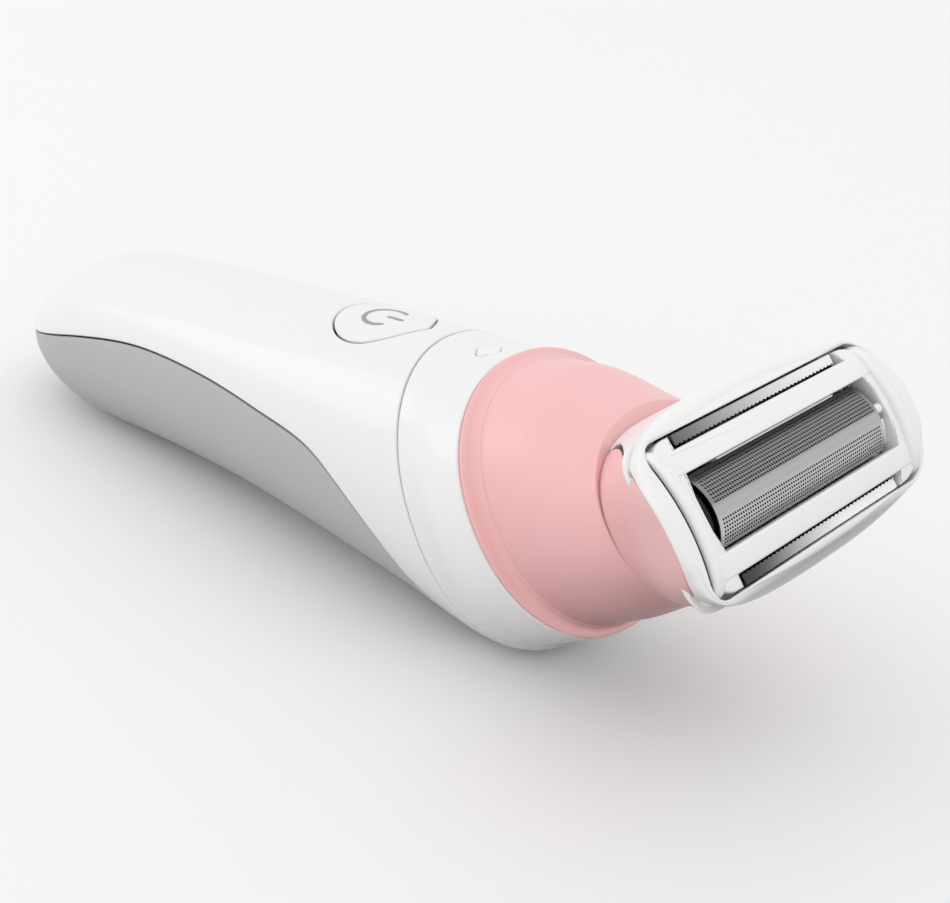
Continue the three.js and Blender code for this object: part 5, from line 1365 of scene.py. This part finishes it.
# Each comb's tone runs from dark at one end to bright at the other: painted reflection, given as painted shade that
# fades along the strip.
for word, side, dark_y, bright_y in (("rear", -1, -26, 16), ("front", 1, -17, 6)):
    mirror = [side, 1, 1]
    comb = folded_sheet(lip_outer, lip_inner, along_comb, 1, 0.14, 0)
    comb = faced_out(comb[0] * mirror, comb[1])
    make_piece(f"{word}_trimmer_comb_sheet", from_head(comb[0]), comb[1], "shaving_head", TRIMMER_STEEL,
               [f"{word}_trimmer_comb"], shade=painted_reflection_ramp(dark_y, bright_y))
    blade = folded_sheet(blade_outer, blade_inner, along_blade, 1, -0.5, 2)
    points, faces = join_parts([faced_out(blade[0] * mirror, blade[1]), faced_out(leg[0] * mirror, leg[1])])
    make_piece(f"{word}_trimmer_blade_sheet", from_head(points), faces, "trimmer_bridge", DARK_STEEL,
               [f"{word}_trimmer_blade"])

# %% [markdown]
# ## Floor and light
#
# The shaver lies on a plain pale floor. A bright, even surround keeps the shadows faint, a broad light
# overhead shapes the top, and a smaller one from the left puts the soft highlight on the dome.

# %% Floor and lights
FLOOR_HALF = 4.0
mesh = bpy.data.meshes.new("floor")
corners = [(-FLOOR_HALF, -FLOOR_HALF, 0), (FLOOR_HALF, -FLOOR_HALF, 0),
           (FLOOR_HALF, FLOOR_HALF, 0), (-FLOOR_HALF, FLOOR_HALF, 0)]
mesh.from_pydata(corners, [], [(0, 1, 2, 3)])
mesh.materials.append(finish("pale_floor", (249, 249, 249), 0.9, grain=(60, 0.02), tint=0.002))
floor = bpy.data.objects.new("floor", mesh)
bpy.context.scene.collection.objects.link(floor)

world = bpy.data.worlds.new("studio")
world.use_nodes = True
world.node_tree.nodes["Background"].inputs["Color"].default_value = (1, 1, 1, 1)
world.node_tree.nodes["Background"].inputs["Strength"].default_value = 0.89
bpy.context.scene.world = world


def soft_light(name, place, size, watts, aim=(0, 0, 0.03)):
    """Square area light that looks from its place to its aim, all in metres."""
    data = bpy.data.lights.new(name, "AREA")
    data.size, data.energy = size, watts
    light = bpy.data.objects.new(name, data)
    light.location = place
    light.rotation_euler = (Vector(place) - Vector(aim)).to_track_quat("Z", "Y").to_euler()
    bpy.context.scene.collection.objects.link(light)


soft_light("overhead", (0.0, -0.1, 1.4), 2.2, 2.0)
soft_light("left_window", (-0.7, -0.5, 0.5), 0.5, 0.8)
print("lights:", len(bpy.data.lights))

# %% [markdown]
# ## Camera
#
# The camera looks down at the head from in front of the shaver's left side. Its place and its two
# directions are given in the handle's frame and then turned into the row's.

# %% Camera
CAMERA_PLACE = np.array([95.2245, -161.1611, 97.4258])
LOOK = np.array([-0.626886, 0.668393, -0.400330])
LEVEL = np.array([math.sin(math.radians(46.835)), math.cos(math.radians(46.835)), 0.0])
ROLL = math.radians(-1.703)
rise = np.cross(LEVEL, LOOK)
right = LEVEL * math.cos(ROLL) + rise * math.sin(ROLL)
up = -LEVEL * math.sin(ROLL) + rise * math.cos(ROLL)
handle_axes = np.stack([handle_ahead, across, handle_up])
basis = np.eye(4)
basis[:3, 0], basis[:3, 1], basis[:3, 2] = right @ handle_axes, up @ handle_axes, -LOOK @ handle_axes
basis[:3, 3] = from_handle(CAMERA_PLACE)
camera_data = bpy.data.cameras.new("camera")
camera_data.lens, camera_data.sensor_width = 60.92, 36.0
camera = bpy.data.objects.new("camera", camera_data)
camera.matrix_world = Matrix(basis.tolist())
bpy.context.scene.collection.objects.link(camera)
bpy.context.scene.camera = camera
bpy.context.scene.view_settings.view_transform = "Standard"
print("camera at", np.round(basis[:3, 3], 3))
